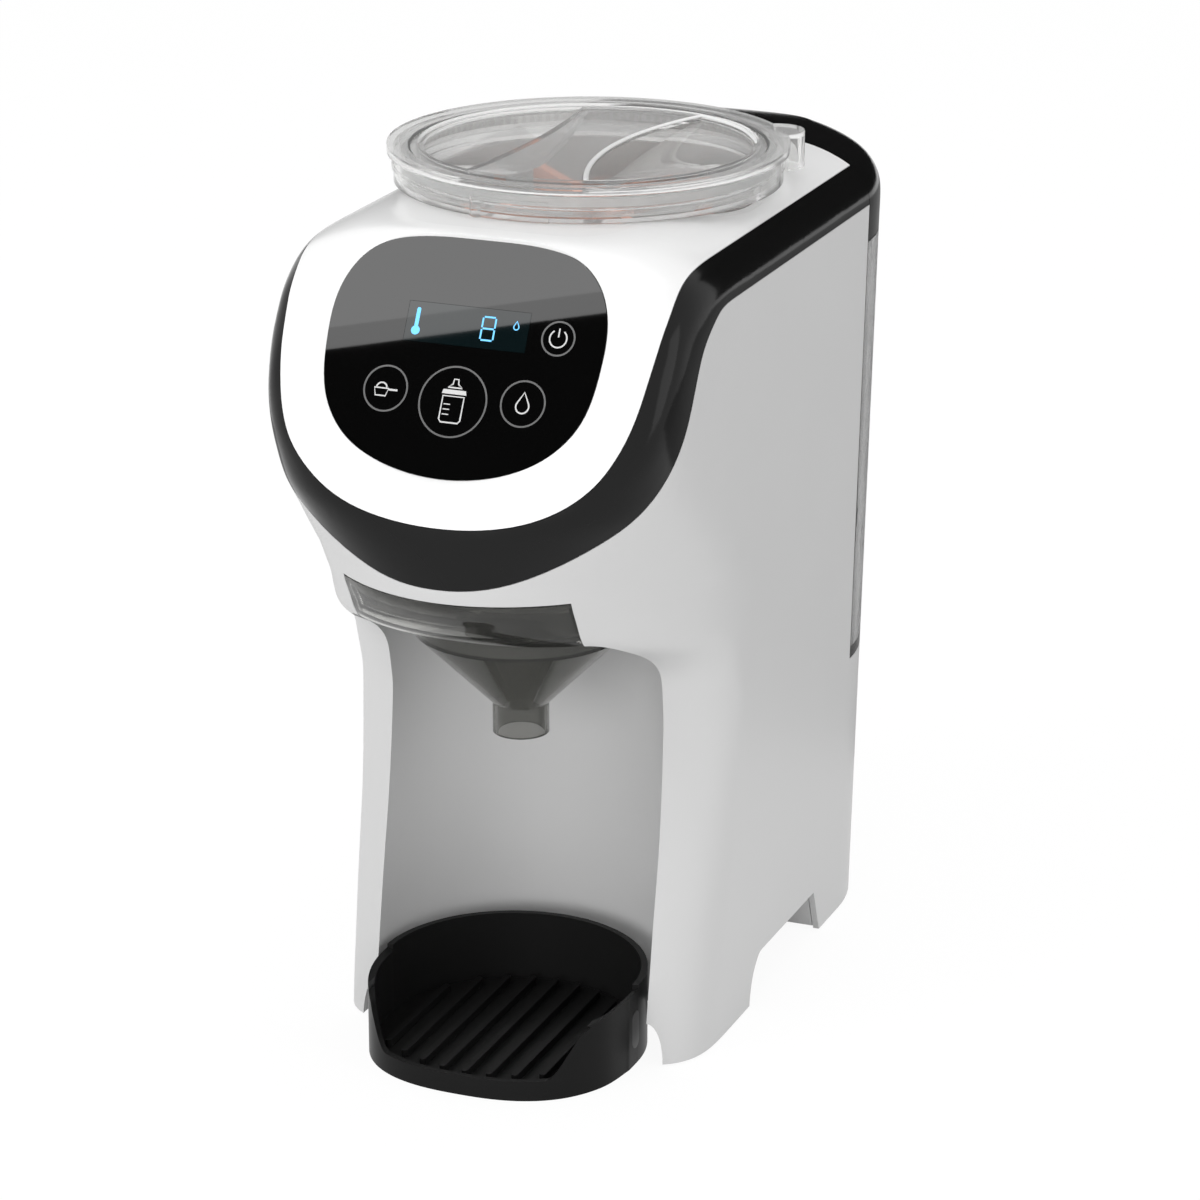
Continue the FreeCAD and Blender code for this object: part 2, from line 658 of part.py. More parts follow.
def powder_container():
    top = HEIGHT - LID_THICK - FIT
    foot = TIER_Z + 2
    profile = [
        (BOSS_HOLE_R, BOWL_Z), (BOWL_R, BOWL_Z), (BOWL_R, TIER_Z), (TIER_R, TIER_Z), (TIER_R, top),
        (TIER_R - 2.5, top), (TIER_R - 2.5, foot), (BOWL_R - BOWL_WALL, foot),
        (BOWL_R - BOWL_WALL, BOWL_Z + 3), (BOSS_HOLE_R, BOWL_Z + 3),
    ]
    bead = ring(TIER_R + 0.7, TIER_R - 1, BEAD_Z, BEAD_Z + 0.8)
    tongue = ring(TIER_R + 1.5, TIER_R - 1, TIER_Z + 0.2, TIER_Z + 7.7)
    sector = polygon_prism([Vector(0, 0, 0)] + [
        Vector(150 * math.cos(math.radians(a)), 150 * math.sin(math.radians(a)), 0) for a in (-103, -91, -79)
    ], UP * HEIGHT)
    lug_x, lug_y = (TIER_R * math.cos(math.radians(-101)), TIER_R * math.sin(math.radians(-101)))
    lug = rod(2.6, TIER_Z + 0.2, TIER_Z + 7.7, lug_x, lug_y)
    shape = fuse(turned(profile), bead, tongue.common(sector), lug.cut(rod(TIER_R - 1, 0, HEIGHT)))
    shape.translate(Vector(0, LID_Y, 0))
    return shape.cut(rod(OUTLET_R, BOWL_Z - 1, BOWL_Z + 4, 0, OUTLET_Y))


def finger_pocket(grow, edge, arc_r):
    """Conical hollow beside the lid's grip bar, deepest at the bar."""
    top = HEIGHT + 5
    bowl = turned([
        (0, top), (0, HEIGHT - POCKET_DEPTH - grow),
        (POCKET_R + grow, HEIGHT - POCKET_SHALLOW - grow), (POCKET_R + grow, top),
    ])
    return bowl.common(rod(arc_r + grow, HEIGHT - 2 * POCKET_DEPTH, top, edge + arc_r, 0))


def finger_pockets(grow):
    return finger_pocket(grow, *GRIP_RIGHT).fuse(mirrored(finger_pocket(grow, *GRIP_LEFT)))


def container_lid():
    under = HEIGHT - LID_THICK
    plate = rod(LID_R, under, HEIGHT).cut(rod(LID_RECESS_R, HEIGHT - LID_RECESS, HEIGHT + 1))
    plug = ring(PLUG_R, PLUG_R - 3, PLUG_Z, under + 0.5)
    groove = ring(PLUG_R + 1, PLUG_R - 1, SEAL_Z, SEAL_Z + 3)
    below_face = rod(LID_R, 0, HEIGHT - LID_RECESS)
    turn = math.radians(TAB_ANGLE)
    tab_x, tab_y = (TAB_CENTRE_R * math.cos(turn), TAB_CENTRE_R * math.sin(turn))
    tab = rod(TAB_R, HEIGHT - TAB_DEPTH, HEIGHT, tab_x, tab_y)
    tab = tab.cut(rod(TAB_R - 2.2, HEIGHT - TAB_DEPTH - 1, HEIGHT - 2.5, tab_x, tab_y))
    tab = tab.cut(rod(LID_R + 0.2, 0, under - 0.2))
    shape = fuse(plate, plug.cut(groove), finger_pockets(LID_WALL).common(below_face), tab)
    shape = shape.cut(finger_pockets(0))
    shape.translate(Vector(0, LID_Y, 0))
    return shape


def lid_seal():
    return ring(SEAL_R, PLUG_R - 1, SEAL_Z, SEAL_Z + 3, 0, LID_Y)


def mixing_wheel():
    """Hub with arms, scrapers on the floor and paddles that stand between them."""
    hub = fuse(rod(BOSS_HOLE_R - RUN, BOWL_Z, BOWL_Z + 5), rod(POST_R, BOWL_Z + 3.3, WHEEL_TOP))
    arm = box(0, -2.0, WHEEL_TOP - 7, 50, 2.0, WHEEL_TOP)
    scraper = box(0, -2.5, BOWL_Z + 3.5, 61, 2.5, BOWL_Z + 11)
    paddle = box(46, -1.8, BOWL_Z + 10, 52, 1.8, WHEEL_TOP)
    blades = []
    for k in range(4):
        for piece in (arm, scraper, paddle):
            blade = piece.copy()
            blade.rotate(Vector(0, 0, 0), UP, 45 + 90 * k)
            blades.append(blade)
    shape = fuse(hub, *blades)
    socket = box(-DOG_R - 0.2, -2.2, BOWL_Z - 1, DOG_R + 0.2, 2.2, DOG_TOP + 0.5)
    shape = cut(shape, socket, rod(4.5, WHEEL_TOP - 2, WHEEL_TOP + 1))
    shape.translate(Vector(0, LID_Y, 0))
    return shape


# ---------------------------------------------------------------- mixing drive
def toothed_disc(teeth, z0, z1, phase):
    """Spur gear with involute flanks."""
    pitch_r = GEAR_MODULE * teeth / 2
    base_r = pitch_r * math.cos(PRESSURE_ANGLE)
    tip_r = pitch_r + GEAR_ADDENDUM * GEAR_MODULE
    root_r = pitch_r - GEAR_DEDENDUM * GEAR_MODULE
    start_r = max(base_r, root_r)

    def flank(radius):
        """Half the tooth's angle at a radius."""
        at_radius = math.acos(min(base_r / radius, 1.0))
        return (math.pi / (2 * teeth) - GEAR_BACKLASH / (2 * pitch_r)
                + (math.tan(PRESSURE_ANGLE) - PRESSURE_ANGLE) - (math.tan(at_radius) - at_radius))

    radii = [start_r + (tip_r - start_r) * i / 5 for i in range(6)]
    points = []
    for k in range(teeth):
        middle = 2 * math.pi * k / teeth + phase
        side = [(root_r, flank(start_r))] + [(radius, flank(radius)) for radius in radii]
        side = side[1:] if root_r >= base_r else side
        outline = [(radius, -half) for radius, half in side]
        outline += [(radius, half) for radius, half in reversed(side)]
        points += [Vector(r * math.cos(middle + a), r * math.sin(middle + a), z0) for r, a in outline]
    return polygon_prism(points, UP * (z1 - z0))


def drive_gear():
    shape = fuse(
        toothed_disc(GEAR_TEETH, GEAR_Z, GEAR_Z + GEAR_THICK, 0),
        rod(SHAFT_R, CASE_Z + 2, DOG_Z),
        box(-DOG_R, -2, DOG_Z - 0.6, DOG_R, 2, DOG_TOP),
    )
    shape.translate(Vector(0, LID_Y, 0))
    return shape


def motor_pinion():
    teeth = toothed_disc(PINION_TEETH, GEAR_Z - 1, GEAR_Z + GEAR_THICK + 1, math.pi / PINION_TEETH)
    shape = teeth.fuse(rod(MOTOR_SHAFT_R, CASE_Z - 8, GEAR_Z + GEAR_THICK + 3))
    shape.translate(Vector(0, PINION_Y, 0))
    return shape


def drive_motor():
    can = rod(MOTOR_R, MOTOR_Z, CASE_Z, 0, PINION_Y)
    tail = rod(6, MOTOR_Z - 4, MOTOR_Z + 1, 0, PINION_Y)
    return fuse(can, tail).cut(rod(MOTOR_SHAFT_R + RUN, CASE_Z - 9, CASE_Z + 1, 0, PINION_Y))


def case_block(gear_r, pinion_r, z0, z1):
    return fuse(
        rod(gear_r, z0, z1, 0, LID_Y),
        rod(pinion_r, z0, z1, 0, PINION_Y),
        box(-pinion_r, LID_Y, z0, pinion_r, PINION_Y, z1),
    )


def gear_case():
    """Housing round the gears, on two posts over the drawer and a strap to the rear wall."""
    top = WELL_Z - 2
    shape = case_block(CASE_R, CASE_R / 2, CASE_Z, top).cut(
        case_block(CASE_R - 2, CASE_R / 2 - 2, CASE_Z + 2, top - 2))
    strap = box(-10, PINION_Y + 11, CASE_Z, 10, REAR_Y - WALL, CASE_Z + 3)
    posts = [rod(4, FUNNEL_TOP + 2 * FIT + WALL, CASE_Z + 1, side * 14, LID_Y - 16) for side in (-1, 1)]
    shape = fuse(shape, strap, *posts)
    return cut(
        shape,
        rod(BUSH_R, CASE_Z - 1, CASE_Z + 3, 0, LID_Y),
        rod(BUSH_R + 2, top - 3, top + 1, 0, LID_Y),
        rod(MOTOR_SHAFT_R + 1, CASE_Z - 1, CASE_Z + 3, 0, PINION_Y),
    )


def shaft_bushes():
    bore = SHAFT_R + RUN
    lower = ring(BUSH_R, bore, CASE_Z, CASE_Z + 4, 0, LID_Y)
    upper = ring(BUSH_R, bore, WELL_Z - 1.5, WELL_Z + 2, 0, LID_Y)
    return group([lower, upper])


def powder_chute():
    """Pipe from the well's floor down into the drawer chamber."""
    bore = CHUTE_R - 1.5
    seat = FUNNEL_TOP + 2 * FIT + WALL
    shape = fuse(
        ring(CHUTE_R, bore, FUNNEL_TOP + 1, WELL_Z - FIT, 0, OUTLET_Y),
        ring(CHUTE_R + 3, bore, seat, seat + 1.5, 0, OUTLET_Y),
    )
    return shape


# ---------------------------------------------------------------- water side
def water_tank(outer, inner):
    space = box(-FAR, REAR_Y + TANK_GAP, TANK_Z, FAR, FAR, TANK_TOP)
    front = REAR_Y + TANK_GAP + WALL
    hollow = inner.common(box(-FAR, front, TANK_FLOOR_Z, FAR, FAR, FAR))
    cage = rod(CAGE_R, TANK_FLOOR_Z - 1, CAGE_TOP, 0, PORT_Y)
    cage = cage.cut(rod(CAGE_R - 1.5, TANK_FLOOR_Z - 2, CAGE_TOP - 2, 0, PORT_Y))
    window = 5.0
    cage = cut(
        cage,
        box(-window, PORT_Y - 20, TANK_FLOOR_Z + 1, window, PORT_Y + 20, CAGE_TOP - 4),
        box(-20, PORT_Y - window, TANK_FLOOR_Z + 1, 20, PORT_Y + window, CAGE_TOP - 4),
    )
    shape = outer.common(space).cut(hollow).fuse(cage)
    return whole(cut(
        shape,
        rod(PORT_RECESS_R, TANK_Z - 1, TANK_Z + 1.3, 0, PORT_Y),
        rod(4, TANK_Z - 1, TANK_FLOOR_Z + 0.5, 0, PORT_Y),
        rod(STEM_R + RUN, TANK_FLOOR_Z, CAGE_TOP + 1, 0, PORT_Y),
    ))


def tank_lid(outer, inner):
    """Domed cap over the tank, with a lip that drops into its mouth."""
    low = TANK_TOP + 0.5
    front = REAR_Y + TANK_GAP
    axis = Vector(-FAR, REAR_Y, DECK_Z - TANK_FALL_R)
    fall = Part.makeCylinder(TANK_FALL_R, 2 * FAR, axis, RIGHT)
    fall_inside = Part.makeCylinder(TANK_FALL_R - WALL, 2 * FAR, axis, RIGHT)
    dome = outer.common(box(-FAR, front, low, FAR, FAR, FAR)).common(fall)
    dome = dome.cut(inner.common(box(-FAR, front + WALL, -FAR, FAR, FAR, FAR)).common(fall_inside))
    lip_out = skin(WALL + FIT).common(box(-FAR, front + WALL + FIT, low - 6, FAR, FAR, low + 4))
    lip_in = skin(WALL + 2).common(box(-FAR, front + WALL + 2, -FAR, FAR, FAR, low + 5))
    bridge = skin(WALL - 0.5).common(box(-FAR, front + WALL - 0.5, low, FAR, FAR, low + 4))
    return whole(dome.fuse(lip_out.cut(lip_in)).fuse(bridge.cut(lip_in)))


def tank_valve():
    return fuse(
        rod(STEM_R, STEM_Z, CAGE_TOP + 1, 0, PORT_Y),
        rod(VALVE_R, VALVE_Z, VALVE_Z + 2, 0, PORT_Y),
    )


def valve_spring():
    """Moulded spring: flat rings joined by blocks on alternate sides."""
    low, high = VALVE_Z + 2, CAGE_TOP - 2
    step = (high - low - SPRING_LEAF) / SPRING_TURNS
    shape = ring(SPRING_R, SPRING_R - 1.6, low, low + SPRING_LEAF, 0, PORT_Y)
    for k in range(SPRING_TURNS):
        z = low + step * k
        side = 1 if k % 2 else -1
        leaf = ring(SPRING_R, SPRING_R - 1.6, z + step, z + step + SPRING_LEAF, 0, PORT_Y)
        block = box(-1, -0.7, z + 0.1, 1, 0.7, z + step + 0.1)
        block.translate(Vector(0, PORT_Y + side * (SPRING_R - 0.8), 0))
        shape = fuse(shape, leaf, block)
    return shape


def tank_dock():
    """Water coupling in the shelf, with a post under the tank's valve and a hose spigot."""
    shape = fuse(
        rod(DOCK_R, SHELF_Z - WALL - 0.5, SHELF_Z, 0, PORT_Y),
        rod(DOCK_R + 4, SHELF_Z - WALL - 3, SHELF_Z - WALL, 0, PORT_Y),
        rod(HOSE_BORE, DOCK_SPIGOT_Z, SHELF_Z - WALL - 2, 0, PORT_Y),
        rod(1.2, SHELF_Z - 1, STEM_Z - FIT, 0, PORT_Y),
    )
    for x in (-DOCK_HOLE_X, DOCK_HOLE_X):
        shape = shape.cut(rod(0.7, SHELF_Z - 6, SHELF_Z + 1, x, PORT_Y))
    return shape.cut(rod(HOSE_BORE - 1, DOCK_SPIGOT_Z - 1, SHELF_Z - 5, 0, PORT_Y))


def dock_seal():
    return ring(7.5, 5, SHELF_Z, SHELF_Z + 1.4, 0, PORT_Y)


def bent_path(points, bend):
    """Straight runs joined by arcs."""
    edges = []
    start = points[0]
    for before, corner, after in zip(points, points[1:], points[2:]):
        back, ahead = before - corner, after - corner
        half = back.getAngle(ahead) / 2
        reach = min(bend / math.tan(half), 0.45 * back.Length, 0.45 * ahead.Length)
        radius = reach * math.tan(half)
        back.normalize()
        ahead.normalize()
        bisector = (back + ahead).normalize()
        first, last = corner + back * reach, corner + ahead * reach
        middle = corner + bisector * (radius / math.sin(half) - radius)
        edges += [Part.makeLine(start, first), Part.Arc(first, middle, last).toShape()]
        start = last
    return Part.Wire(edges + [Part.makeLine(start, points[-1])])


def hose(points):
    path = bent_path(points, HOSE_BEND)
    tubes = []
    for radius in (HOSE_R, HOSE_BORE):
        profile = Part.Wire(Part.makeCircle(radius, points[0], points[1] - points[0]))
        tubes.append(path.makePipeShell([profile], True, False))
    return tubes[0].cut(tubes[1])


def water_pump():
    x, y, z = PUMP
    body = box(x - 16, y - 16, z, x + 16, y + 16, z + 30)
    foot = box(x - 20, y - 12, z - 5, x + 20, y + 12, z)
    inlet = rod(HOSE_BORE, z + 29, z + 40, x, y + 8)
    outlet = rod(HOSE_BORE, z + 29, z + 40, x, y - 8)
    return fuse(body, foot, inlet, outlet)


def flow_heater():
    """Heated pipe block that stands on a bracket on the rear wall."""
    x, y, z = HEATER
    body = rod(15, z, z + 70, x, y)
    bracket = box(x - 8, y, z + 20, x + 8, REAR_Y - WALL, z + 50)
    inlet = rod(HOSE_BORE, z - 10, z + 1, x, y)
    outlet = rod(HOSE_BORE, z + 69, z + 80, x, y)
    return fuse(body, bracket, inlet, outlet)


def suction_hose():
    x, y, z = PUMP
    low = DOCK_SPIGOT_Z - 14
    return hose([
        Vector(0, PORT_Y, DOCK_SPIGOT_Z + 6), Vector(0, PORT_Y, low), Vector(x, y + 30, low),
        Vector(x, y + 8, low), Vector(x, y + 8, z + 32),
    ])


def pressure_hose():
    x, y, z = PUMP
    hx, hy, hz = HEATER
    return hose([
        Vector(x, y - 8, z + 32), Vector(x, y - 8, z + 54), Vector(hx, y - 8, z + 54),
        Vector(hx, hy, hz - 30), Vector(hx, hy, hz - 2),
    ])


def hot_hose():
    hx, hy, hz = HEATER
    high = FUNNEL_TOP + 22
    return hose([
        Vector(hx, hy, hz + 72), Vector(hx, hy, high), Vector(hx, NOZZLE_Y, high),
        Vector(0, NOZZLE_Y, high), Vector(0, NOZZLE_Y, FUNNEL_TOP + 11),
    ])


def water_nozzle():
    seat = FUNNEL_TOP + 2 * FIT + WALL
    shape = fuse(
        rod(NOZZLE_R, FUNNEL_TOP + 0.8, seat, 0, NOZZLE_Y),
        rod(NOZZLE_R + 3, seat, seat + 2, 0, NOZZLE_Y),
        rod(HOSE_BORE, seat, FUNNEL_TOP + 14, 0, NOZZLE_Y),
    )
    return shape.cut(rod(1.5, FUNNEL_TOP, FUNNEL_TOP + 15, 0, NOZZLE_Y))


def main_board():
    """Circuit board on four standoffs on the rear wall."""
    half, low, high = 26, 128, 190
    back = REAR_Y - WALL
    shape = box(-half - 20, back - 7.6, low, half - 20, back - 6, high)
    for x in (-half - 14, half - 26):
        for z in (low + 6, high - 6):
            shape = shape.fuse(box(x - 3, back - 7, z - 3, x + 3, back, z + 3))
    return shape


def power_inlet():
    x, z = INLET_HALF_X, INLET_HALF_Z
    shape = box(-x, INLET_Y - 26, INLET_Z - z, x, INLET_Y, INLET_Z + z)
    return shape.cut(box(-x + 3, INLET_Y - INLET_DEPTH, INLET_Z - z + 3, x - 3, INLET_Y + 1, INLET_Z + z - 3))


def inlet_pins():
    pins = []
    for x in (-5, 5):
        foot = Vector(x, INLET_Y - INLET_DEPTH, INLET_Z)
        pins.append(Part.makeCylinder(1.4, INLET_DEPTH - 3, foot, Vector(0, 1, 0)))
    return group(pins)


# ---------------------------------------------------------------- pieces that the user handles
def funnel(outer, inner):
    """Drawer with a bowl, a cone and a spout, behind a piece of the body's face."""
    half = FUNNEL_HALF
    top_of_floor = FUNNEL_FLOOR_Z + FUNNEL_WALL
    front = outer.common(box(-half, -FAR, BAY_TOP + FIT, half, FUNNEL_MOUTH_Y, FUNNEL_TOP)).cut(inner)
    floor = box(-half, FUNNEL_FRONT_Y, FUNNEL_FLOOR_Z, half, FUNNEL_BACK_Y, top_of_floor)
    sides = [box(side * half - (side + 1), FUNNEL_FRONT_Y, FUNNEL_FLOOR_Z,
                 side * half - (side - 1), FUNNEL_BACK_Y, FUNNEL_TOP - 2) for side in (-1, 1)]
    drawer = fuse(floor, *sides).common(outer)
    inside = FUNNEL_BOWL_R - FUNNEL_WALL
    bore = SPOUT_R - FUNNEL_WALL
    cone = FUNNEL_WALL * (math.sqrt(2) - 1)
    bowl = turned([
        (inside, top_of_floor), (FUNNEL_BOWL_R, top_of_floor), (FUNNEL_BOWL_R, FUNNEL_BOWL_Z),
        (SPOUT_R, SPOUT_TOP), (SPOUT_R, SPOUT_Z), (bore, SPOUT_Z), (bore, SPOUT_TOP + cone),
        (inside, FUNNEL_BOWL_Z + cone),
    ], 0, FUNNEL_Y)
    shape = drawer.cut(rod(inside, FUNNEL_FLOOR_Z - 1, top_of_floor + 1, 0, FUNNEL_Y))
    return whole(fuse(shape, front, bowl))


def tray_prism(inset, z0, z1):
    """Plan of the tray: round at the rear and squarer in front."""
    radius = TRAY_R - inset
    front = []
    for i in range(17):
        angle = math.pi / 2 * (i - 8) / 8
        s, c = abs(math.sin(angle)), max(math.cos(angle), 0.0)
        reach = radius * (s**TRAY_POWER + c**TRAY_POWER)**(-1 / TRAY_POWER)
        front.append(Vector(reach * math.sin(angle), TRAY_Y - reach * c, z0))
    curve = spline_through(front, Vector(0, -1, 0), Vector(0, 1, 0))
    rear = Part.Arc(front[-1], Vector(0, TRAY_Y + radius, z0), front[0]).toShape()
    return Part.Face(Part.Wire([curve, rear])).extrude(UP * (z1 - z0))


def drip_tray():
    shape = tray_prism(0, 0, TRAY_TOP).cut(tray_prism(TRAY_WALL, TRAY_FLOOR, TRAY_TOP + 1))
    half = [Vector(TRAY_LIP_HALF, -FAR, TRAY_LIP)]
    for i in range(1, 9):
        t = i / 8
        rise = TRAY_LIP_RISE * (3 - 2 * t) * t**2
        half.append(Vector(TRAY_LIP_HALF + TRAY_LIP_RUN * t, -FAR, TRAY_LIP + rise))
    right = spline_through(half, RIGHT, RIGHT)
    rest = Part.makePolygon([
        half[-1],
        Vector(TRAY_R + 3, -FAR, TRAY_TOP),
        Vector(TRAY_R + 3, -FAR, TRAY_TOP + 20),
        Vector(0, -FAR, TRAY_TOP + 20),
        Vector(0, -FAR, TRAY_LIP),
        half[0],
    ])
    opening = Part.Face(Part.Wire([right] + rest.Edges)).extrude(Vector(0, FAR + TRAY_Y, 0))
    shape = cut(shape, opening, mirrored(opening))
    middle = (TRAY_RIBS - 1) / 2
    for k in range(TRAY_RIBS):
        x = (k - middle) * RIB_PITCH
        front_y = TRAY_Y - RIB_REACH + 14 * (x / (middle * RIB_PITCH))**2
        rear_y = TRAY_Y + math.sqrt((TRAY_R - 8)**2 - x**2)
        rib = box(x - RIB_HALF, front_y, TRAY_FLOOR - 0.5, x + RIB_HALF, rear_y, RIB_TOP)
        ends = [rod(RIB_HALF, TRAY_FLOOR - 0.5, RIB_TOP, x, y) for y in (front_y, rear_y)]
        shape = fuse(shape, rib, *ends)
    half, low, high = TONGUE
    tongue = box(-half, TRAY_Y + TRAY_R - 1.5, low, half, 0, high).common(bay(-FIT))
    return fuse(shape, tongue)


# ---------------------------------------------------------------- the assembly
def main():
    outer, inner = skin(), skin(WALL)
    shell = body_shell(outer, inner)
    upper = shell.common(trim_zone(-SEAM))
    pieces = {
        "main_housing": main_housing(shell),
        "trim_band": trim_band(upper),
        "top_cover": top_cover(upper),
        "base_plate": base_plate(),
        "rubber_feet": rubber_feet(),
        "base_screws": base_screws(),
        "control_panel": control_panel(),
        "display_window": display_window(),
        "display_module": display_module(),
        "control_board": control_board(),
        "key_switches": key_switches(),
        "key_rings": key_rings(),
        "powder_well": powder_well(outer),
        "powder_container": powder_container(),
        "container_lid": container_lid(),
        "lid_seal": lid_seal(),
        "mixing_wheel": mixing_wheel(),
        "drive_gear": drive_gear(),
        "motor_pinion": motor_pinion(),
        "drive_motor": drive_motor(),
        "gear_case": gear_case(),
        "shaft_bushes": shaft_bushes(),
        "powder_chute": powder_chute(),
        "water_tank": water_tank(outer, inner),
        "tank_lid": tank_lid(outer, inner),
        "tank_valve": tank_valve(),
        "valve_spring": valve_spring(),
        "tank_dock": tank_dock(),
        "dock_seal": dock_seal(),
        "water_pump": water_pump(),
        "flow_heater": flow_heater(),
        "suction_hose": suction_hose(),
        "pressure_hose": pressure_hose(),
        "hot_hose": hot_hose(),
        "water_nozzle": water_nozzle(),
        "main_board": main_board(),
        "power_inlet": power_inlet(),
        "inlet_pins": inlet_pins(),
        "funnel": funnel(outer, inner),
        "drip_tray": drip_tray(),
    }
    for name in KEYS:
        pieces[name] = key(name)

    os.makedirs("parts", exist_ok=True)
    for name, shape in pieces.items():
        shape.exportStep(f"parts/{name}.step")
        bounds = shape.BoundBox
        print(f"{name}: {len(shape.Solids)} solids, valid {shape.isValid()}, volume {shape.Volume:.0f}, "
              f"z {bounds.ZMin:.1f} to {bounds.ZMax:.1f}")


main()
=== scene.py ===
"""Looks of a baby formula maker: finishes, signs of the panel, small details and the studio."""

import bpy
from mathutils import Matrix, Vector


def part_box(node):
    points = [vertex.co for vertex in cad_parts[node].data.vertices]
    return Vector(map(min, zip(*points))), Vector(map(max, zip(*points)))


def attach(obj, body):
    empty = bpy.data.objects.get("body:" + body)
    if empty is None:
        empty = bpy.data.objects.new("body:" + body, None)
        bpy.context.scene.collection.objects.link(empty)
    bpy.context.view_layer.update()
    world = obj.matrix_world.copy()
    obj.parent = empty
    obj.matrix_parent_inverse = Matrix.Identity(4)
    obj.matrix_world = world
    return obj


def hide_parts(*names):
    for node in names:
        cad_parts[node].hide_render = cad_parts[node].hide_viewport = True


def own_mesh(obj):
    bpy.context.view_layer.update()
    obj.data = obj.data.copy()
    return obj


bl_info = {
    "name": "Baby formula maker looks",
    "version": (1, 0, 0),
    "blender": (4, 5, 0),
    "location": "View3D > Sidebar > Formula maker",
    "description": "Dresses the formula maker's packed model and sets up its studio",
    "category": "Object",
}

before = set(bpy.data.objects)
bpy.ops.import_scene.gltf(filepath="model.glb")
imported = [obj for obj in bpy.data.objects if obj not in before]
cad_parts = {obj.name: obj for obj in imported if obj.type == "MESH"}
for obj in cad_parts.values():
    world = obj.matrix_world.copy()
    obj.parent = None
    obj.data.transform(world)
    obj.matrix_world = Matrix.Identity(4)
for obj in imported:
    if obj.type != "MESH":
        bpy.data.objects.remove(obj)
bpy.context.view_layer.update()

import math

import bmesh
import bpy
from bpy.props import FloatProperty, FloatVectorProperty, PointerProperty
from mathutils import Matrix, Vector

MM = 0.001

# The panel's plane: its lowest point, its slope (rise, run), and how far its face stands out (metres)
PANEL_FOOT = Vector((0.0, -0.1554, 0.2479))
PANEL_TILT = math.atan2(0.0787, 0.0433)
PANEL_FACE = 0.4 * MM
# Each key: place across and up the panel's plane, and radius (millimetres)
KEYS = {
    "start_key": (0.0, 28.4, 13.4),
    "amount_key": (27.0, 30.6, 8.8),
    "powder_key": (-27.0, 30.6, 8.8),
    "power_key": (35.8, 55.7, 6.6),
}
# A sign's thickness, and its gap to the face under it (metres)
SIGN_HEIGHT = 0.05 * MM
SIGN_LIFT = 0.01 * MM

# The lid's face, the round edge of its recess, and the arc of its grip bar's side (metres)
LID_AXIS = Vector((0.0, -12.6 * MM, 340.3 * MM))
RECESS_RADIUS = 63.8 * MM
GRIP_EDGE, GRIP_RADIUS = 10.2 * MM, 140.6 * MM
# The raised edge is partly a real ridge and partly a painted highlight: its white stands in for the light
# caught along the ridge and the recess's near rim
# The pocket's raised edge: where it ends on the recess (degrees), how deep its foot lies in the lid (metres),
# the share of its full size that it starts and ends with, what each step adds, and the sides of its back
EDGE_START, EDGE_END = -46, 22
EDGE_SINK = 0.05 * MM
EDGE_END_SHARE, EDGE_STEP_SHARE = 0.3, 0.2
EDGE_SIDES = 8

# The valve's coil: its wire, how far the wire's middle lies inside the node's sides (metres), and its turns
WIRE_RADIUS = 0.4 * MM
COIL_INSET = 1.5 * WIRE_RADIUS
COIL_TURNS, TURN_STEPS, WIRE_SIDES = 4, 24, 8

# The tray's round side wall (metres)
TRAY_AXIS = Vector((0.0, -92.6 * MM, 0.0))
TRAY_RADIUS = 53.0 * MM
# A raised mark on it, whose lighter finish paints a highlight: lower and upper end, how deep its back lies in
# the wall, half its width at its ends
MARK_LOW, MARK_HIGH = 7.0 * MM, 22.5 * MM
MARK_ROOT = 0.3 * MM
MARK_TIP = 0.05 * MM
# Where each mark lies round the tray's axis, in degrees from the machine's right
MARK_TURNS = {"right": -3.0, "left": 183.0}
# Steps across a mark, and round each of its ends
MARK_STEPS = 6

# The front lamp: its distance from the panel, its side, the point it faces (metres), and the two places
# across and up the panel where its lower edge is mirrored
LAMP_DISTANCE = 2.4
LAMP_SIZE = 1.06
LAMP_AIM = Vector((0, 0, 0.25))
MIRRORED_LEFT = (-53.5 * MM, 42.2 * MM)
MIRRORED_RIGHT = (51.9 * MM, 67.0 * MM)
# The other soft lamps: size, place, and the point each faces (metres)
LOW_LAMP = (1.4, 0.8), (-0.1, -2.2, 0.35), (0, -0.05, 0.15)
TOP_LAMP = (1.6, 1.6), (0.1, 0.2, 2.3), (0, 0, 0.3)
SIDE_LAMP = (1.2, 1.8), (2.4, -0.4, 0.9), (0, 0, 0.15)
# Cards that only gloss mirrors: size and middle (metres), and tone. The front one hangs under the front lamp,
# reaches a little way up behind it, and stands a little way back
FRONT_CARD_SIZE = (1.6, 1.0)
FRONT_CARD_OVERLAP, FRONT_CARD_SETBACK = 0.02, 0.01
REAR_CARD_SIZE, REAR_CARD_PLACE = (4.0, 1.8), (-0.4, 2.4, 1.0)
FLOOR_CARD_SIZE, FLOOR_CARD_PLACE = (2.0, 1.6), (0.3, 1.05, 0.002)
BLACK_CARD, GREY_CARD = 0.01, 0.35
# The floor: its side (metres), the strength of the white that is seen, and that white's share
FLOOR_SIZE = 12.0
FLOOR_GLOW, FLOOR_GLOW_SHARE = 1.03, 0.9
# Rays that see the background white
SEEN_BY = ("Is Camera Ray", "Is Glossy Ray", "Is Transmission Ray")
# The camera's sensor (millimetres)
SENSOR_WIDTH = 36.0

# The grain's usual fineness, and how much coarser and weaker its broad waves are
GRAIN_SCALE = 1800.0
BROAD_SCALE, BROAD_SHARE = 0.12, 0.6
# How far a handling mark's tone follows its change in roughness
TONE_SHARE = 0.4
# Refraction of the smoke grey plastic, below the usual 1.5 so that what is behind it shows clearly
SMOKE_IOR = 1.3

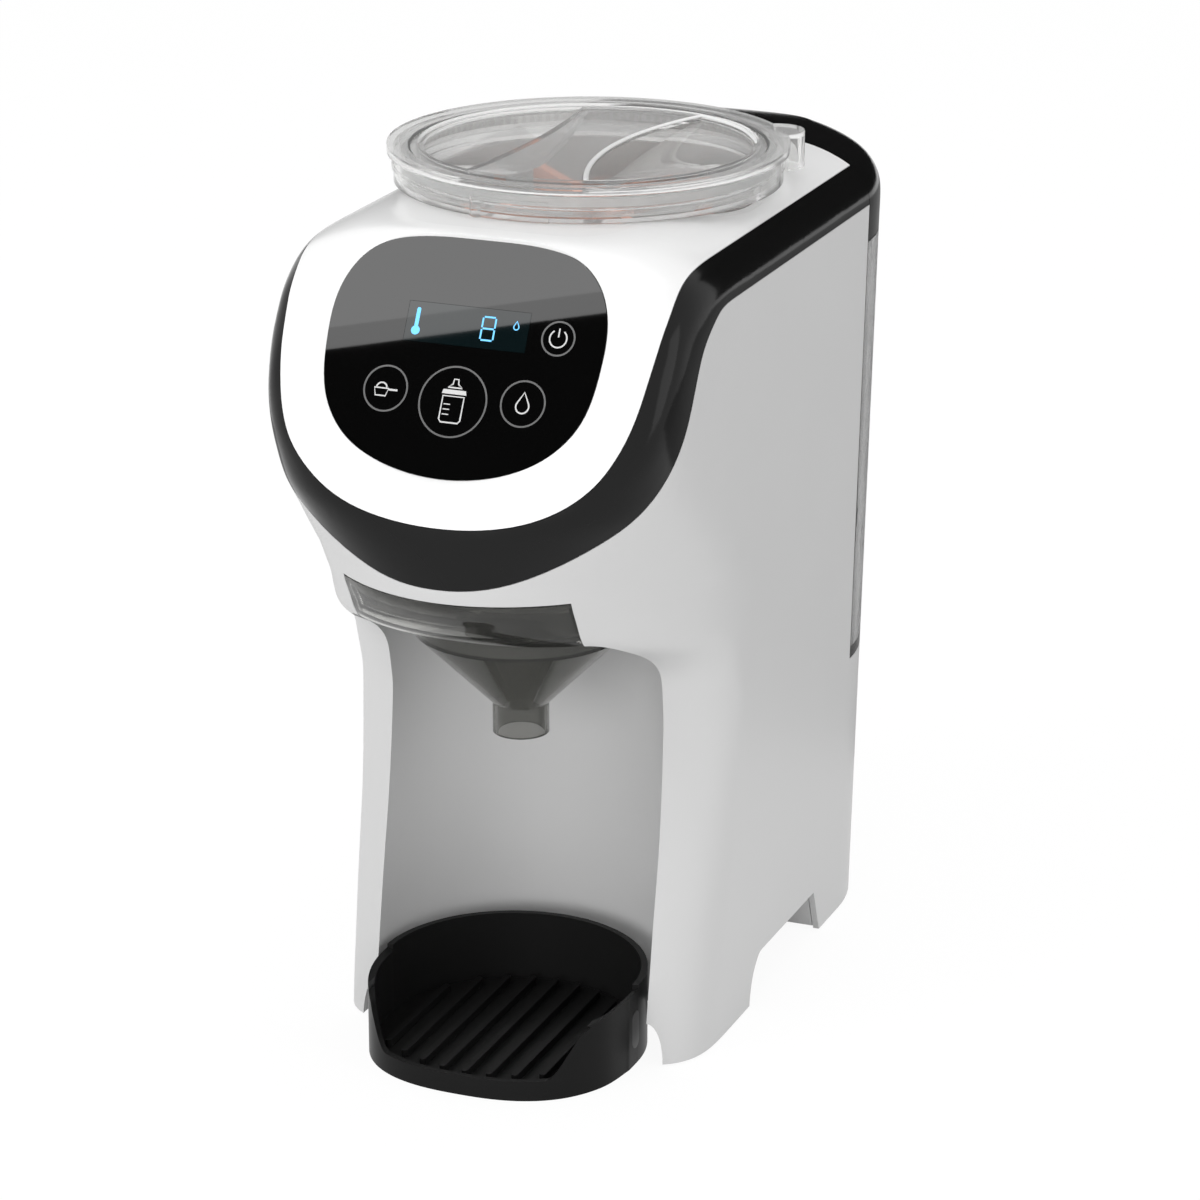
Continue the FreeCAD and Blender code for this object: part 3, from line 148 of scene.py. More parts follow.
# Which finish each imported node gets
NODE_FINISH = {
    "Body plastic": ("main_housing", "base_plate"),
    "Cover plastic": ("top_cover",),
    "Trim plastic": ("trim_band", "tank_lid"),
    "Panel gloss": ("control_panel", "start_key", "amount_key", "powder_key", "power_key"),
    "Display window": ("display_window",),
    "Tray plastic": ("drip_tray",),
    "Smoke funnel": ("funnel",),
    "Smoke tank": ("water_tank",),
    "Clear container": ("powder_container", "container_lid"),
    "Silicone": ("lid_seal", "suction_hose", "pressure_hose", "hot_hose"),
    "Wheel plastic": ("mixing_wheel",),
    "Inner plastic": ("powder_well", "gear_case", "powder_chute", "tank_dock", "water_nozzle"),
    "Acetal": ("drive_gear", "tank_valve"),
    "Light guide": ("key_rings",),
    "Dark plastic": ("display_module", "key_switches", "water_pump", "power_inlet"),
    "Circuit board": ("control_board", "main_board"),
    "Rubber": ("rubber_feet", "dock_seal"),
    "Bright steel": ("base_screws", "drive_motor", "valve_spring"),
    "Cast aluminium": ("flow_heater",),
    "Plain brass": ("motor_pinion", "inlet_pins"),
    "Sintered bronze": ("shaft_bushes",),
}


def colour(name, default, words):
    return FloatVectorProperty(name=name, description=words, subtype="COLOR", size=3, min=0.0, max=1.0,
                               default=default)


class FormulaMakerColours(bpy.types.PropertyGroup):
    """Colours of the plastics"""
    body: colour("Body", (0.59, 0.59, 0.59), "Moulded body and legs")
    cover: colour("Cover", (0.86, 0.86, 0.86), "Face and deck")
    trim: colour("Trim", (0.006, 0.006, 0.006), "Gloss band and tank lid")
    panel: colour("Panel", (0.002, 0.002, 0.002), "Control panel and keys")
    window: colour("Display window", (0.003, 0.007, 0.008), "Window of the display")
    tray: colour("Tray", (0.011, 0.011, 0.011), "Drip tray")
    # Painted highlight: the tray marks' lighter grey stands in for a light bar that shows on the tray's side
    tray_highlight_mark: colour("Tray highlight mark", (0.035, 0.035, 0.035), "Raised marks on the tray's sides, lighter to paint a highlight")
    smoke: colour("Funnel", (0.37, 0.37, 0.352), "See-through funnel drawer")
    tank: colour("Tank", (0.50, 0.50, 0.50), "See-through water tank")
    clear: colour("Container", (0.88, 0.88, 0.875), "See-through powder container and lid")
    wheel: colour("Mixing wheel", (0.85, 0.30, 0.16), "Wheel inside the container")
    display: colour("Display", (0.12, 0.44, 0.76), "Lit signs of the display")
    sign: colour("Sign", (0.62, 0.62, 0.62), "Printed signs on the keys")


class FormulaMakerSizes(bpy.types.PropertyGroup):
    """Sizes of the signs and small details"""
    line: FloatProperty(
        name="Sign line", description="Line width of the printed signs",
        default=0.55 * MM, min=0.2 * MM, max=2 * MM, unit="LENGTH")
    digit_height: FloatProperty(
        name="Digit height", description="Height of the display's digit",
        default=8.6 * MM, min=4 * MM, max=12 * MM, unit="LENGTH")
    edge_width: FloatProperty(
        name="Lid edge width", description="Width of the raised edge of the lid's pocket",
        default=2.2 * MM, min=0.3 * MM, max=3 * MM, unit="LENGTH")
    edge_height: FloatProperty(
        name="Lid edge height", description="Height of the raised edge of the lid's pocket",
        default=0.9 * MM, min=0.1 * MM, max=1.1 * MM, unit="LENGTH")
    # The tray's marks are raised, and their lighter finish paints a highlight on its sides
    mark_width: FloatProperty(
        name="Tray highlight mark width", description="Width of the raised marks that paint a highlight on the tray's sides",
        default=6.0 * MM, min=2 * MM, max=12 * MM, unit="LENGTH")
    mark_height: FloatProperty(
        name="Tray highlight mark height", description="How far the raised marks that paint a highlight on the tray stand out",
        default=0.3 * MM, min=0.1 * MM, max=0.6 * MM, unit="LENGTH")
    grain_depth: FloatProperty(
        name="Grain depth", description="Depth of the moulded grain",
        default=0.02 * MM, min=0.0, max=0.2 * MM, unit="LENGTH")


class FormulaMakerStudio(bpy.types.PropertyGroup):
    """Camera and lamps"""
    lens: FloatProperty(
        name="Lens", description="Focal length of the camera, millimetres on a 36 mm sensor",
        default=128.85, min=20.0, max=400.0)
    azimuth: FloatProperty(
        name="Azimuth", description="Turn of the camera to the machine's right",
        default=math.radians(22.10), subtype="ANGLE")
    pitch: FloatProperty(
        name="Pitch", description="How far the camera looks down",
        default=math.radians(19.09), subtype="ANGLE")
    camera_place: FloatVectorProperty(
        name="Camera place", description="Where the camera stands", size=3,
        default=(0.60752, -1.49719, 0.71118), subtype="TRANSLATION", unit="LENGTH")
    front_power: FloatProperty(
        name="Front lamp", description="Power of the lamp that the panel mirrors",
        default=11.6, min=0.0, unit="POWER")
    low_power: FloatProperty(
        name="Low lamp", description="Power of the lamp that lights the bay",
        default=14.0, min=0.0, unit="POWER")
    top_power: FloatProperty(
        name="Top lamp", description="Power of the lamp overhead",
        default=7.0, min=0.0, unit="POWER")
    side_power: FloatProperty(
        name="Side lamp", description="Power of the lamp at the right",
        default=8.2, min=0.0, unit="POWER")
    sky: FloatProperty(
        name="Sky", description="Strength of the even light from all round",
        default=0.72, min=0.0)


# ---------------------------------------------------------------- node groups
def link(tree, source, target):
    tree.links.new(source, target)


def math_node(tree, operation, a, b):
    """Output of a maths node on two values, each a number or another node's output."""
    node = tree.nodes.new("ShaderNodeMath")
    node.operation = operation
    for socket, value in zip(node.inputs, (a, b)):
        if hasattr(value, "is_output"):
            link(tree, value, socket)
        else:
            socket.default_value = value
    return node.outputs[0]


def new_group(name, inputs, outputs):
    """Empty shader group with float inputs (name, default) and float outputs (name)."""
    tree = bpy.data.node_groups.new(name, "ShaderNodeTree")
    for label, default in inputs:
        socket = tree.interface.new_socket(label, in_out="INPUT", socket_type="NodeSocketFloat")
        socket.default_value = default
    for label in outputs:
        tree.interface.new_socket(label, in_out="OUTPUT", socket_type="NodeSocketFloat")
    return tree, tree.nodes.new("NodeGroupInput"), tree.nodes.new("NodeGroupOutput")


def noise(tree, scale, detail):
    """Noise over the object, whose scale comes from another node."""
    coords = tree.nodes.new("ShaderNodeTexCoord")
    node = tree.nodes.new("ShaderNodeTexNoise")
    link(tree, coords.outputs["Object"], node.inputs["Vector"])
    link(tree, scale, node.inputs["Scale"])
    node.inputs["Detail"].default_value = detail
    return node.outputs["Fac"]


def moulded_grain():
    """Fine spark-eroded grain of a moulding tool: height for a Bump node."""
    name = "Moulded grain"
    if name in bpy.data.node_groups:
        return bpy.data.node_groups[name]
    tree, given, result = new_group(name, [("Scale", GRAIN_SCALE), ("Depth", 1.0)], ["Height"])
    fine = noise(tree, given.outputs["Scale"], 2.0)
    broad = noise(tree, math_node(tree, "MULTIPLY", given.outputs["Scale"], BROAD_SCALE), 1.0)
    mixed = math_node(tree, "ADD", fine, math_node(tree, "MULTIPLY", broad, BROAD_SHARE))
    link(tree, math_node(tree, "MULTIPLY", mixed, given.outputs["Depth"]), result.inputs["Height"])
    return tree


def handling_marks():
    """Slight changes of gloss and tone where a surface is touched and wiped."""
    name = "Handling marks"
    if name in bpy.data.node_groups:
        return bpy.data.node_groups[name]
    tree, given, result = new_group(
        name, [("Roughness", 0.3), ("Change", 0.05), ("Scale", 30.0)], ["Roughness", "Tone"])
    smear = math_node(tree, "SUBTRACT", noise(tree, given.outputs["Scale"], 4.0), 0.5)
    change = math_node(tree, "MULTIPLY", smear, given.outputs["Change"])
    link(tree, math_node(tree, "ADD", given.outputs["Roughness"], change), result.inputs["Roughness"])
    tone = math_node(tree, "ADD", math_node(tree, "MULTIPLY", change, TONE_SHARE), 1.0)
    link(tree, tone, result.inputs["Tone"])
    return tree


def use_group(tree, group, **values):
    """Places a group in a material, with its own values."""
    node = tree.nodes.new("ShaderNodeGroup")
    node.node_tree = group
    for label, value in values.items():
        node.inputs[label].default_value = value
    return node


# ---------------------------------------------------------------- finishes
def new_material(name):
    """Material, its node tree, and its Principled shader."""
    material = bpy.data.materials.new(name)
    material.use_nodes = True
    tree = material.node_tree
    return material, tree, tree.nodes["Principled BSDF"]


def plastic(name, tint, roughness, change=0.06, marks_scale=30.0, grain_scale=GRAIN_SCALE, grain=0.25,
            **sockets):
    """Moulded plastic: tinted, grained, with faint handling marks. Sockets are set on the shader itself."""
    material, tree, shader = new_material(name)
    marks = use_group(tree, handling_marks(), Roughness=roughness, Change=change, Scale=marks_scale)
    link(tree, marks.outputs["Roughness"], shader.inputs["Roughness"])
    shade = tree.nodes.new("ShaderNodeMix")
    shade.data_type = "RGBA"
    shade.blend_type = "MULTIPLY"
    shade.inputs["Factor"].default_value = 1.0
    shade.inputs["A"].default_value = (*tint, 1.0)
    link(tree, marks.outputs["Tone"], shade.inputs["B"])
    link(tree, shade.outputs["Result"], shader.inputs["Base Color"])
    texture = use_group(tree, moulded_grain(), Scale=grain_scale, Depth=1.0)
    bump = tree.nodes.new("ShaderNodeBump")
    bump.inputs["Strength"].default_value = grain
    bump.inputs["Distance"].default_value = bpy.context.scene.formula_maker_sizes.grain_depth
    link(tree, texture.outputs["Height"], bump.inputs["Height"])
    link(tree, bump.outputs["Normal"], shader.inputs["Normal"])
    for label, value in sockets.items():
        shader.inputs[label.replace("_", " ")].default_value = value
    return material


def pass_light(material, share):
    """Lets that share of the light through a see-through plastic onto what is behind it."""
    tree = material.node_tree
    paths = tree.nodes.new("ShaderNodeLightPath")
    passed = math_node(tree, "MULTIPLY", paths.outputs["Is Shadow Ray"], share)
    held = math_node(tree, "SUBTRACT", 1.0, passed)
    link(tree, held, tree.nodes["Principled BSDF"].inputs["Alpha"])


def metal(name, tint, roughness, grain_scale=900.0, grain=0.2):
    """Bare metal, on which handling shows more than on plastic."""
    return plastic(name, tint, roughness, change=0.12, marks_scale=120.0, grain_scale=grain_scale,
                   grain=grain, Metallic=1.0)


def lit(name, tint, strength):
    """Lit sign behind the display's window."""
    material = plastic(name, tint, 0.4, grain=0.0)
    shader = material.node_tree.nodes["Principled BSDF"]
    shader.inputs["Emission Color"].default_value = (*tint, 1.0)
    shader.inputs["Emission Strength"].default_value = strength
    return material


def make_finishes():
    """Builds every finish that the pieces are dressed in."""
    colours = bpy.context.scene.formula_maker_colours
    plastic("Body plastic", colours.body, 0.42, grain=0.35)
    plastic("Cover plastic", colours.cover, 0.25, grain=0.06)
    plastic("Trim plastic", colours.trim, 0.14, grain=0.05, Specular_IOR_Level=0.2)
    plastic("Panel gloss", colours.panel, 0.012, change=0.008, grain=0.0)
    plastic("Display window", colours.window, 0.015, change=0.008, grain=0.0)
    plastic("Tray plastic", colours.tray, 0.33, grain=0.3, Specular_IOR_Level=0.06)
    # Painted highlight: lighter and glossier than the tray, for the light bar along the tray's side
    plastic("Tray highlight mark", colours.tray_highlight_mark, 0.4, grain=0.3)
    plastic("Smoke funnel", colours.smoke, 0.05, change=0.02, grain=0.0, Transmission_Weight=0.95,
            IOR=SMOKE_IOR)
    plastic("Smoke tank", colours.tank, 0.06, change=0.02, grain=0.0, Transmission_Weight=0.95,
            IOR=SMOKE_IOR)
    clear = plastic("Clear container", colours.clear, 0.04, change=0.02, grain=0.01,
                    Transmission_Weight=0.86, IOR=1.22)
    pass_light(clear, 0.85)
    # Painted highlight: the lid's raised edge is clear plastic, drawn here near-white and nearly opaque for
    # the light that it catches
    plastic("Lid edge painted highlight", (0.95, 0.95, 0.95), 0.12, change=0.02, grain=0.0, Transmission_Weight=0.1,
            IOR=1.3)
    plastic("Silicone", (0.75, 0.76, 0.76), 0.3, grain=0.05, Transmission_Weight=0.6, IOR=1.4)
    plastic("Wheel plastic", colours.wheel, 0.3, grain=0.1)
    plastic("Inner plastic", (0.8, 0.8, 0.8), 0.45)
    plastic("Acetal", (0.8, 0.8, 0.78), 0.35)
    plastic("Light guide", (0.11, 0.11, 0.11), 0.3, grain=0.0)
    plastic("Dark plastic", (0.03, 0.03, 0.032), 0.5)
    plastic("Circuit board", (0.015, 0.12, 0.05), 0.35)
    plastic("Rubber", (0.02, 0.02, 0.02), 0.7, grain=0.5)
    metal("Bright steel", (0.62, 0.62, 0.62), 0.3)
    metal("Cast aluminium", (0.7, 0.7, 0.71), 0.45, grain_scale=1400.0, grain=0.5)
    metal("Plain brass", (0.75, 0.58, 0.28), 0.3)
    metal("Sintered bronze", (0.6, 0.42, 0.22), 0.5)
    plastic("Printed sign", colours.sign, 0.4, grain=0.0)
    lit("Display sign", colours.display, 0.8)


def dress(obj, finish):
    """Puts a finish on every material slot of an object."""
    material = bpy.data.materials[finish]
    if not obj.material_slots:
        obj.data.materials.append(material)
    for place in obj.material_slots:
        place.material = material


# ---------------------------------------------------------------- shapes
def new_object(name, data):
    """Object in the scene that holds a mesh, lamp or camera."""
    obj = bpy.data.objects.new(name, data)
    bpy.context.scene.collection.objects.link(obj)
    return obj


def mesh_object(mesh, name):
    """Turns a bmesh into an object in the scene."""
    data = bpy.data.meshes.new(name)
    mesh.to_mesh(data)
    mesh.free()
    return new_object(name, data)


def panel_matrix(lift=0.0):
    """From the panel's plane (x across, y up the panel, z outwards) to the frame."""
    place = Matrix.Translation(PANEL_FOOT) @ Matrix.Rotation(PANEL_TILT, 4, "X")
    return place @ Matrix.Translation((0, 0, PANEL_FACE + lift))


def stroke(mesh, points, width, closed=False):
    """Flat line of even width along points of the panel's plane."""
    count = len(points)
    rims = []
    for i, point in enumerate(points):
        before = points[i - 1] if (closed or i > 0) else point
        after = points[(i + 1) % count] if (closed or i < count - 1) else point
        along = Vector((after[0] - before[0], after[1] - before[1])).normalized()
        side = Vector((-along.y, along.x)) * (width / 2)
        rims.append([mesh.verts.new((point[0] + hand * side.x, point[1] + hand * side.y, z))
                     for hand, z in ((1, 0), (1, SIGN_HEIGHT), (-1, SIGN_HEIGHT), (-1, 0))])
    for i in range(count if closed else count - 1):
        a, b = rims[i], rims[(i + 1) % count]
        for k in range(4):
            mesh.faces.new((a[k], b[k], b[(k + 1) % 4], a[(k + 1) % 4]))
    if not closed:
        mesh.faces.new(rims[0])
        mesh.faces.new(list(reversed(rims[-1])))


def plate(mesh, points):
    """Flat patch with a closed outline in the panel's plane."""
    low = [mesh.verts.new((x, y, 0)) for x, y in points]
    high = [mesh.verts.new((x, y, SIGN_HEIGHT)) for x, y in points]
    mesh.faces.new(list(reversed(low)))
    mesh.faces.new(high)
    for i in range(len(points)):
        k = (i + 1) % len(points)
        mesh.faces.new((low[i], low[k], high[k], high[i]))


def loft(rings):
    """Mesh of a closed skin over rings of points that follow each other, with flat ends."""
    mesh = bmesh.new()
    rims = [[mesh.verts.new(point) for point in ring] for ring in rings]
    count = len(rims[0])
    for a, b in zip(rims, rims[1:]):
        for k in range(count):
            mesh.faces.new((a[k], b[k], b[(k + 1) % count], a[(k + 1) % count]))
    mesh.faces.new(rims[0])
    mesh.faces.new(list(reversed(rims[-1])))
    return mesh


def arc_points(x, y, radius, start, end, steps=24):
    """Points of an arc about (x, y) between two angles in degrees."""
    angles = [math.radians(start + (end - start) * i / steps) for i in range(steps + 1)]
    return [(x + radius * math.cos(a), y + radius * math.sin(a)) for a in angles]


def finish_piece(mesh, name, matrix, finish, body, smooth=False):
    """Turns a bmesh into a piece in its place, which rides on a body."""
    for face in mesh.faces:
        face.smooth = smooth
    bmesh.ops.recalc_face_normals(mesh, faces=mesh.faces)
    piece = mesh_object(mesh, name)
    piece.data.transform(matrix)
    dress(piece, finish)
    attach(piece, body)
    return piece


# ---------------------------------------------------------------- signs
def spots(x, y, size, shares):
    """Points about (x, y) of a sign that is drawn in shares of its size."""
    return [(x + across * size, y + up * size) for across, up in shares]


def mirrored(left):
    """Outline whose right half mirrors its left half."""
    return left + [(-across, up) for across, up in reversed(left)]


def drop_outline(x, y, radius, tip, steps):
    """Water drop: a round belly about (x, y) under a tip."""
    return arc_points(x, y, radius, -205, 25, steps) + [(x, tip)]


def power_sign(mesh, x, y, size, line):
    """Open ring with a stroke through its gap."""
    stroke(mesh, arc_points(x, y, size, 125, 415), line)
    stroke(mesh, spots(x, y, size, [(0, 0.15), (0, 1.15)]), line)


def start_sign(mesh, x, y, size, line):
    """Feeding bottle: body, collar, teat and three level marks."""
    body = mirrored([(-0.62, 0.30), (-0.62, -1.0), (-0.5, -1.15)])
    stroke(mesh, spots(x, y, size, body), line, closed=True)
    plate(mesh, spots(x, y, size, [(-0.72, 0.42), (0.72, 0.42), (0.66, 0.66), (-0.66, 0.66)]))
    teat = mirrored([(-0.42, 0.78), (-0.16, 0.98), (-0.13, 1.25)])
    stroke(mesh, spots(x, y, size, teat), line, closed=True)
    first, pitch = 0.15 * size, 0.28 * size
    for k in range(3):
        stroke(mesh, spots(x, y - first - pitch * k, size, [(-0.50, 0), (-0.12, 0)]), line * 0.7)


def amount_sign(mesh, x, y, size, line):
    """Water drop."""
    stroke(mesh, drop_outline(x, y - 0.25 * size, 0.62 * size, y + 1.05 * size, 28), line, closed=True)


def powder_sign(mesh, x, y, size, line):
    """Measuring scoop, its handle, and the powder heaped in it."""
    scoop = [(-0.95, 0), (-0.78, -0.62), (0.10, -0.62), (0.27, 0)]
    stroke(mesh, spots(x, y, size, scoop), line, closed=True)
    stroke(mesh, spots(x, y, size, [(0.27, -0.08), (1.05, -0.08)]), line * 1.3)
    stroke(mesh, arc_points(x - 0.34 * size, y - 0.02 * size, 0.46 * size, 12, 168, 12), line)


# Each key's sign, and its size as a share of the key's radius
KEY_SIGNS = {
    "start_key": (start_sign, 0.50),
    "amount_key": (amount_sign, 0.46),
    "powder_key": (powder_sign, 0.52),
    "power_key": (power_sign, 0.50),
}


def display_thermometer():
    """Thermometer: a stem with a round end on a bulb."""
    x, bulb_y, top_y = -19.8 * MM, 53.2 * MM, 61.0 * MM
    bulb, stem = 1.7 * MM, 0.75 * MM
    mesh = bmesh.new()
    plate(mesh, arc_points(x, bulb_y, bulb, 116, 424, 30) + arc_points(x, top_y, stem, 0, 180, 10))
    return mesh


def display_digit(height):
    """Digit 8 of seven bars."""
    width, line, gap = 5.0 * MM, 0.62 * MM, 0.35 * MM
    x, y = 8.3 * MM, 52.2 * MM
    left, right = x - width / 2, x + width / 2
    mesh = bmesh.new()
    for level in (y, y + height / 2, y + height):
        stroke(mesh, [(left + gap, level), (right - gap, level)], line)
    for side in (left, right):
        for low in (y, y + height / 2):
            stroke(mesh, [(side, low + gap), (side, low + height / 2 - gap)], line)
    return mesh


def display_drop():
    """Small drop in the place of the unit."""
    x, y, radius, tip = 19.0 * MM, 58.2 * MM, 1.0 * MM, 60.4 * MM
    line = 0.4 * MM
    mesh = bmesh.new()
    stroke(mesh, drop_outline(x, y, radius, tip, 20), line, closed=True)
    return mesh


# ---------------------------------------------------------------- details
def pocket_path():
    """Line of the raised edge and its painted highlight: along the recess, past the grip bar, and along the
    recess again.
    """
    # The grip bar's arc meets the recess where both are equally far from the lid's axis
    middle = GRIP_EDGE + GRIP_RADIUS
    cosine = (middle**2 + GRIP_RADIUS**2 - RECESS_RADIUS**2) / (2 * middle * GRIP_RADIUS)
    turn = math.degrees(math.acos(cosine))
    corner = math.degrees(math.asin(GRIP_RADIUS * math.sin(math.radians(turn)) / RECESS_RADIUS))
    path = arc_points(0, 0, RECESS_RADIUS, EDGE_START, -corner, 12)
    path += arc_points(middle, 0, GRIP_RADIUS, 180 + turn, 180 - turn, 40)[1:-1]
    path += arc_points(0, 0, RECESS_RADIUS, corner, EDGE_END, 20)
    return path


def pocket_edge(width, height):
    """Half-round edge along the pocket, which thins out at both ends, and whose white finish paints a
    highlight along it.
    """
    path = pocket_path()
    last = len(path) - 1
    rings = []
    for i, (x, y) in enumerate(path):
        before, after = path[max(i - 1, 0)], path[min(i + 1, last)]
        side = Vector((before[1] - after[1], after[0] - before[0])).normalized() * (width / 2)
        share = min(1.0, EDGE_END_SHARE + EDGE_STEP_SHARE * min(i, last - i))
        ring = []
        for k in range(EDGE_SIDES + 1):
            across, rise = math.cos(math.pi * k / EDGE_SIDES), math.sin(math.pi * k / EDGE_SIDES)
            ring.append((x + side.x * across * share, y + side.y * across * share,
                         height * rise * share - EDGE_SINK))
        rings.append(ring)
    return loft(rings)


def coil(radius, bottom, top):
    """Round wire wound about the Z axis, whose middle climbs from one level to the other."""
    steps = COIL_TURNS * TURN_STEPS
    rings = []
    for i in range(steps + 1):
        angle = math.tau * i / TURN_STEPS
        level = bottom + (top - bottom) * i / steps
        ring = []
        for k in range(WIRE_SIDES):
            side = math.tau * k / WIRE_SIDES
            reach = radius + WIRE_RADIUS * math.cos(side)
            ring.append((reach * math.cos(angle), reach * math.sin(angle),
                         level + WIRE_RADIUS * math.sin(side)))
        rings.append(ring)
    return loft(rings)


def tray_highlight_mark(middle, width, height):
    """Upright mark with round ends on the tray's side wall, at an angle in degrees, whose lighter finish
    paints a highlight there.
    """
    half = width / 2
    quarter = [math.pi / 2 * k / MARK_STEPS for k in range(MARK_STEPS + 1)]
    levels = [(MARK_LOW + half - half * math.cos(a), half * math.sin(a)) for a in quarter]
    levels += [(MARK_HIGH - half + half * math.sin(a), half * math.cos(a)) for a in quarter]
    rings = []
    for z, reach in levels:
        reach = max(reach, MARK_TIP)
        ring = []
        for radius, way in ((TRAY_RADIUS - MARK_ROOT, 1), (TRAY_RADIUS + height, -1)):
            for k in range(MARK_STEPS + 1):
                share = 2 * k / MARK_STEPS - 1
                angle = math.radians(middle) + way * share * reach / TRAY_RADIUS
                ring.append((radius * math.cos(angle), radius * math.sin(angle), z))
        rings.append(ring)
    return loft(rings)


# ---------------------------------------------------------------- studio
def seen_rays(tree):
    """Mask of the rays that see the background white."""
    paths = tree.nodes.new("ShaderNodeLightPath")
    mask, *others = (paths.outputs[ray] for ray in SEEN_BY)
    for output in others:
        mask = math_node(tree, "MAXIMUM", mask, output)
    return mask


def mix_shaders(tree, mask, first, second):
    """Shader that is the first node's where the mask is 0 and the second's where it is 1."""
    mix = tree.nodes.new("ShaderNodeMixShader")
    link(tree, mask, mix.inputs["Fac"])
    link(tree, first.outputs[0], mix.inputs[1])
    link(tree, second.outputs[0], mix.inputs[2])
    return mix.outputs[0]


def floor_finish():
    """Pale floor, seen white where nothing shades it, which keeps a part of the object's shadow."""
    material, tree, shader = new_material("Studio floor")
    shader.inputs["Base Color"].default_value = (0.85, 0.85, 0.85, 1.0)
    shader.inputs["Roughness"].default_value = 0.9
    shader.inputs["Specular IOR Level"].default_value = 0.0
    glow = tree.nodes.new("ShaderNodeEmission")
    glow.inputs["Strength"].default_value = FLOOR_GLOW
    mask = math_node(tree, "MULTIPLY", seen_rays(tree), FLOOR_GLOW_SHARE)
    surface = tree.nodes["Material Output"].inputs["Surface"]
    link(tree, mix_shaders(tree, mask, shader, glow), surface)
    return material


def studio_world(sky):
    """Even light from all round, with a white background."""
    world = bpy.data.worlds.new("Studio")
    world.use_nodes = True
    tree = world.node_tree
    tree.nodes.clear()
    soft = tree.nodes.new("ShaderNodeBackground")
    white = tree.nodes.new("ShaderNodeBackground")
    for light in (soft, white):
        light.inputs["Color"].default_value = (1, 1, 1, 1)
    soft.inputs["Strength"].default_value = sky
    output = tree.nodes.new("ShaderNodeOutputWorld")
    link(tree, mix_shaders(tree, seen_rays(tree), soft, white), output.inputs["Surface"])
    return world


def flat_sheet(name, size):
    """Flat sheet of the studio, about its own middle."""
    width, height = size
    mesh = bmesh.new()
    corners = ((-1, -1), (1, -1), (1, 1), (-1, 1))
    mesh.faces.new([mesh.verts.new((x * width / 2, y * height / 2, 0)) for x, y in corners])
    sheet = mesh_object(mesh, name)
    return sheet


def gloss_card(name, size, place, tone=BLACK_CARD):
    """Sheet that only gloss mirrors: it darkens what a smooth surface shows, and shades nothing."""
    card = flat_sheet(name, size)
    card.matrix_world = place
    card.visible_camera = card.visible_diffuse = card.visible_transmission = card.visible_shadow = False
    material, _, shader = new_material(name)
    shader.inputs["Base Color"].default_value = (tone, tone, tone, 1.0)
    shader.inputs["Specular IOR Level"].default_value = 0.0
    card.data.materials.append(material)


def area_lamp(name, power, size):
    """Soft lamp that shines down its own -Z."""
    data = bpy.data.lights.new(name, "AREA")
    data.shape = "RECTANGLE"
    data.size, data.size_y = size
    data.energy = power
    return new_object(name, data)


def aimed_lamp(name, power, size, place, target):
    """Soft lamp at a place, which faces a point."""
    lamp = area_lamp(name, power, size)
    lamp.location = place
    lamp.rotation_euler = (Vector(target) - Vector(place)).to_track_quat("-Z", "Y").to_euler()


def mirrored_spot(eye, across, up):
    """Point at the front lamp's distance that the eye sees mirrored at a place of the panel."""
    place = panel_matrix()
    spot = place @ Vector((across, up, 0.0))
    sight = (spot - Vector(eye)).normalized()
    return spot + sight.reflect(place.to_3x3() @ Vector((0, 0, 1))) * LAMP_DISTANCE


def front_lamp(eye, power):
    """Lamp whose lower edge is mirrored across the panel, and the black card under it."""
    left = mirrored_spot(eye, *MIRRORED_LEFT)
    right = mirrored_spot(eye, *MIRRORED_RIGHT)
    middle = (left + right) / 2
    along = (right - left).normalized()
    back = middle - LAMP_AIM
    back = (back - along * back.dot(along)).normalized()
    rise = back.cross(along)
    turn = Matrix((along, rise, back)).transposed().to_4x4()
    lamp = area_lamp("front lamp", power, (LAMP_SIZE, LAMP_SIZE))
    lamp.matrix_world = Matrix.Translation(middle + rise * LAMP_SIZE / 2) @ turn
    drop = FRONT_CARD_SIZE[1] / 2 - FRONT_CARD_OVERLAP
    card_middle = middle - rise * drop + back * FRONT_CARD_SETBACK
    gloss_card("front card", FRONT_CARD_SIZE, Matrix.Translation(card_middle) @ turn)


def studio_camera(studio):
    """Camera at the studio's place, which looks down at the machine."""
    data = bpy.data.cameras.new("camera")
    data.lens = studio.lens
    data.sensor_width = SENSOR_WIDTH
    camera = new_object("camera", data)
    camera.location = studio.camera_place
    camera.rotation_euler = (math.pi / 2 - studio.pitch, 0.0, studio.azimuth)
    return camera


# ---------------------------------------------------------------- operators
class FORMULA_OT_finish_nodes(bpy.types.Operator):
    """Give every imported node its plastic, rubber or metal finish"""
    bl_idname = "formula_maker.finish_nodes"
    bl_label = "Finish the packed nodes"

    def execute(self, context):
        make_finishes()
        for finish, nodes in NODE_FINISH.items():
            for node in nodes:
                dress(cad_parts[node], finish)
        return {"FINISHED"}


class FORMULA_OT_key_signs(bpy.types.Operator):
    """Print a plain sign on each key"""
    bl_idname = "formula_maker.key_signs"
    bl_label = "Key signs"

    def execute(self, context):
        line = context.scene.formula_maker_sizes.line
        for key, (draw, share) in KEY_SIGNS.items():
            x, y, radius = (value * MM for value in KEYS[key])
            mesh = bmesh.new()
            draw(mesh, x, y, radius * share, line)
            finish_piece(mesh, f"{key}_sign", panel_matrix(SIGN_LIFT), "Printed sign", key)
        return {"FINISHED"}


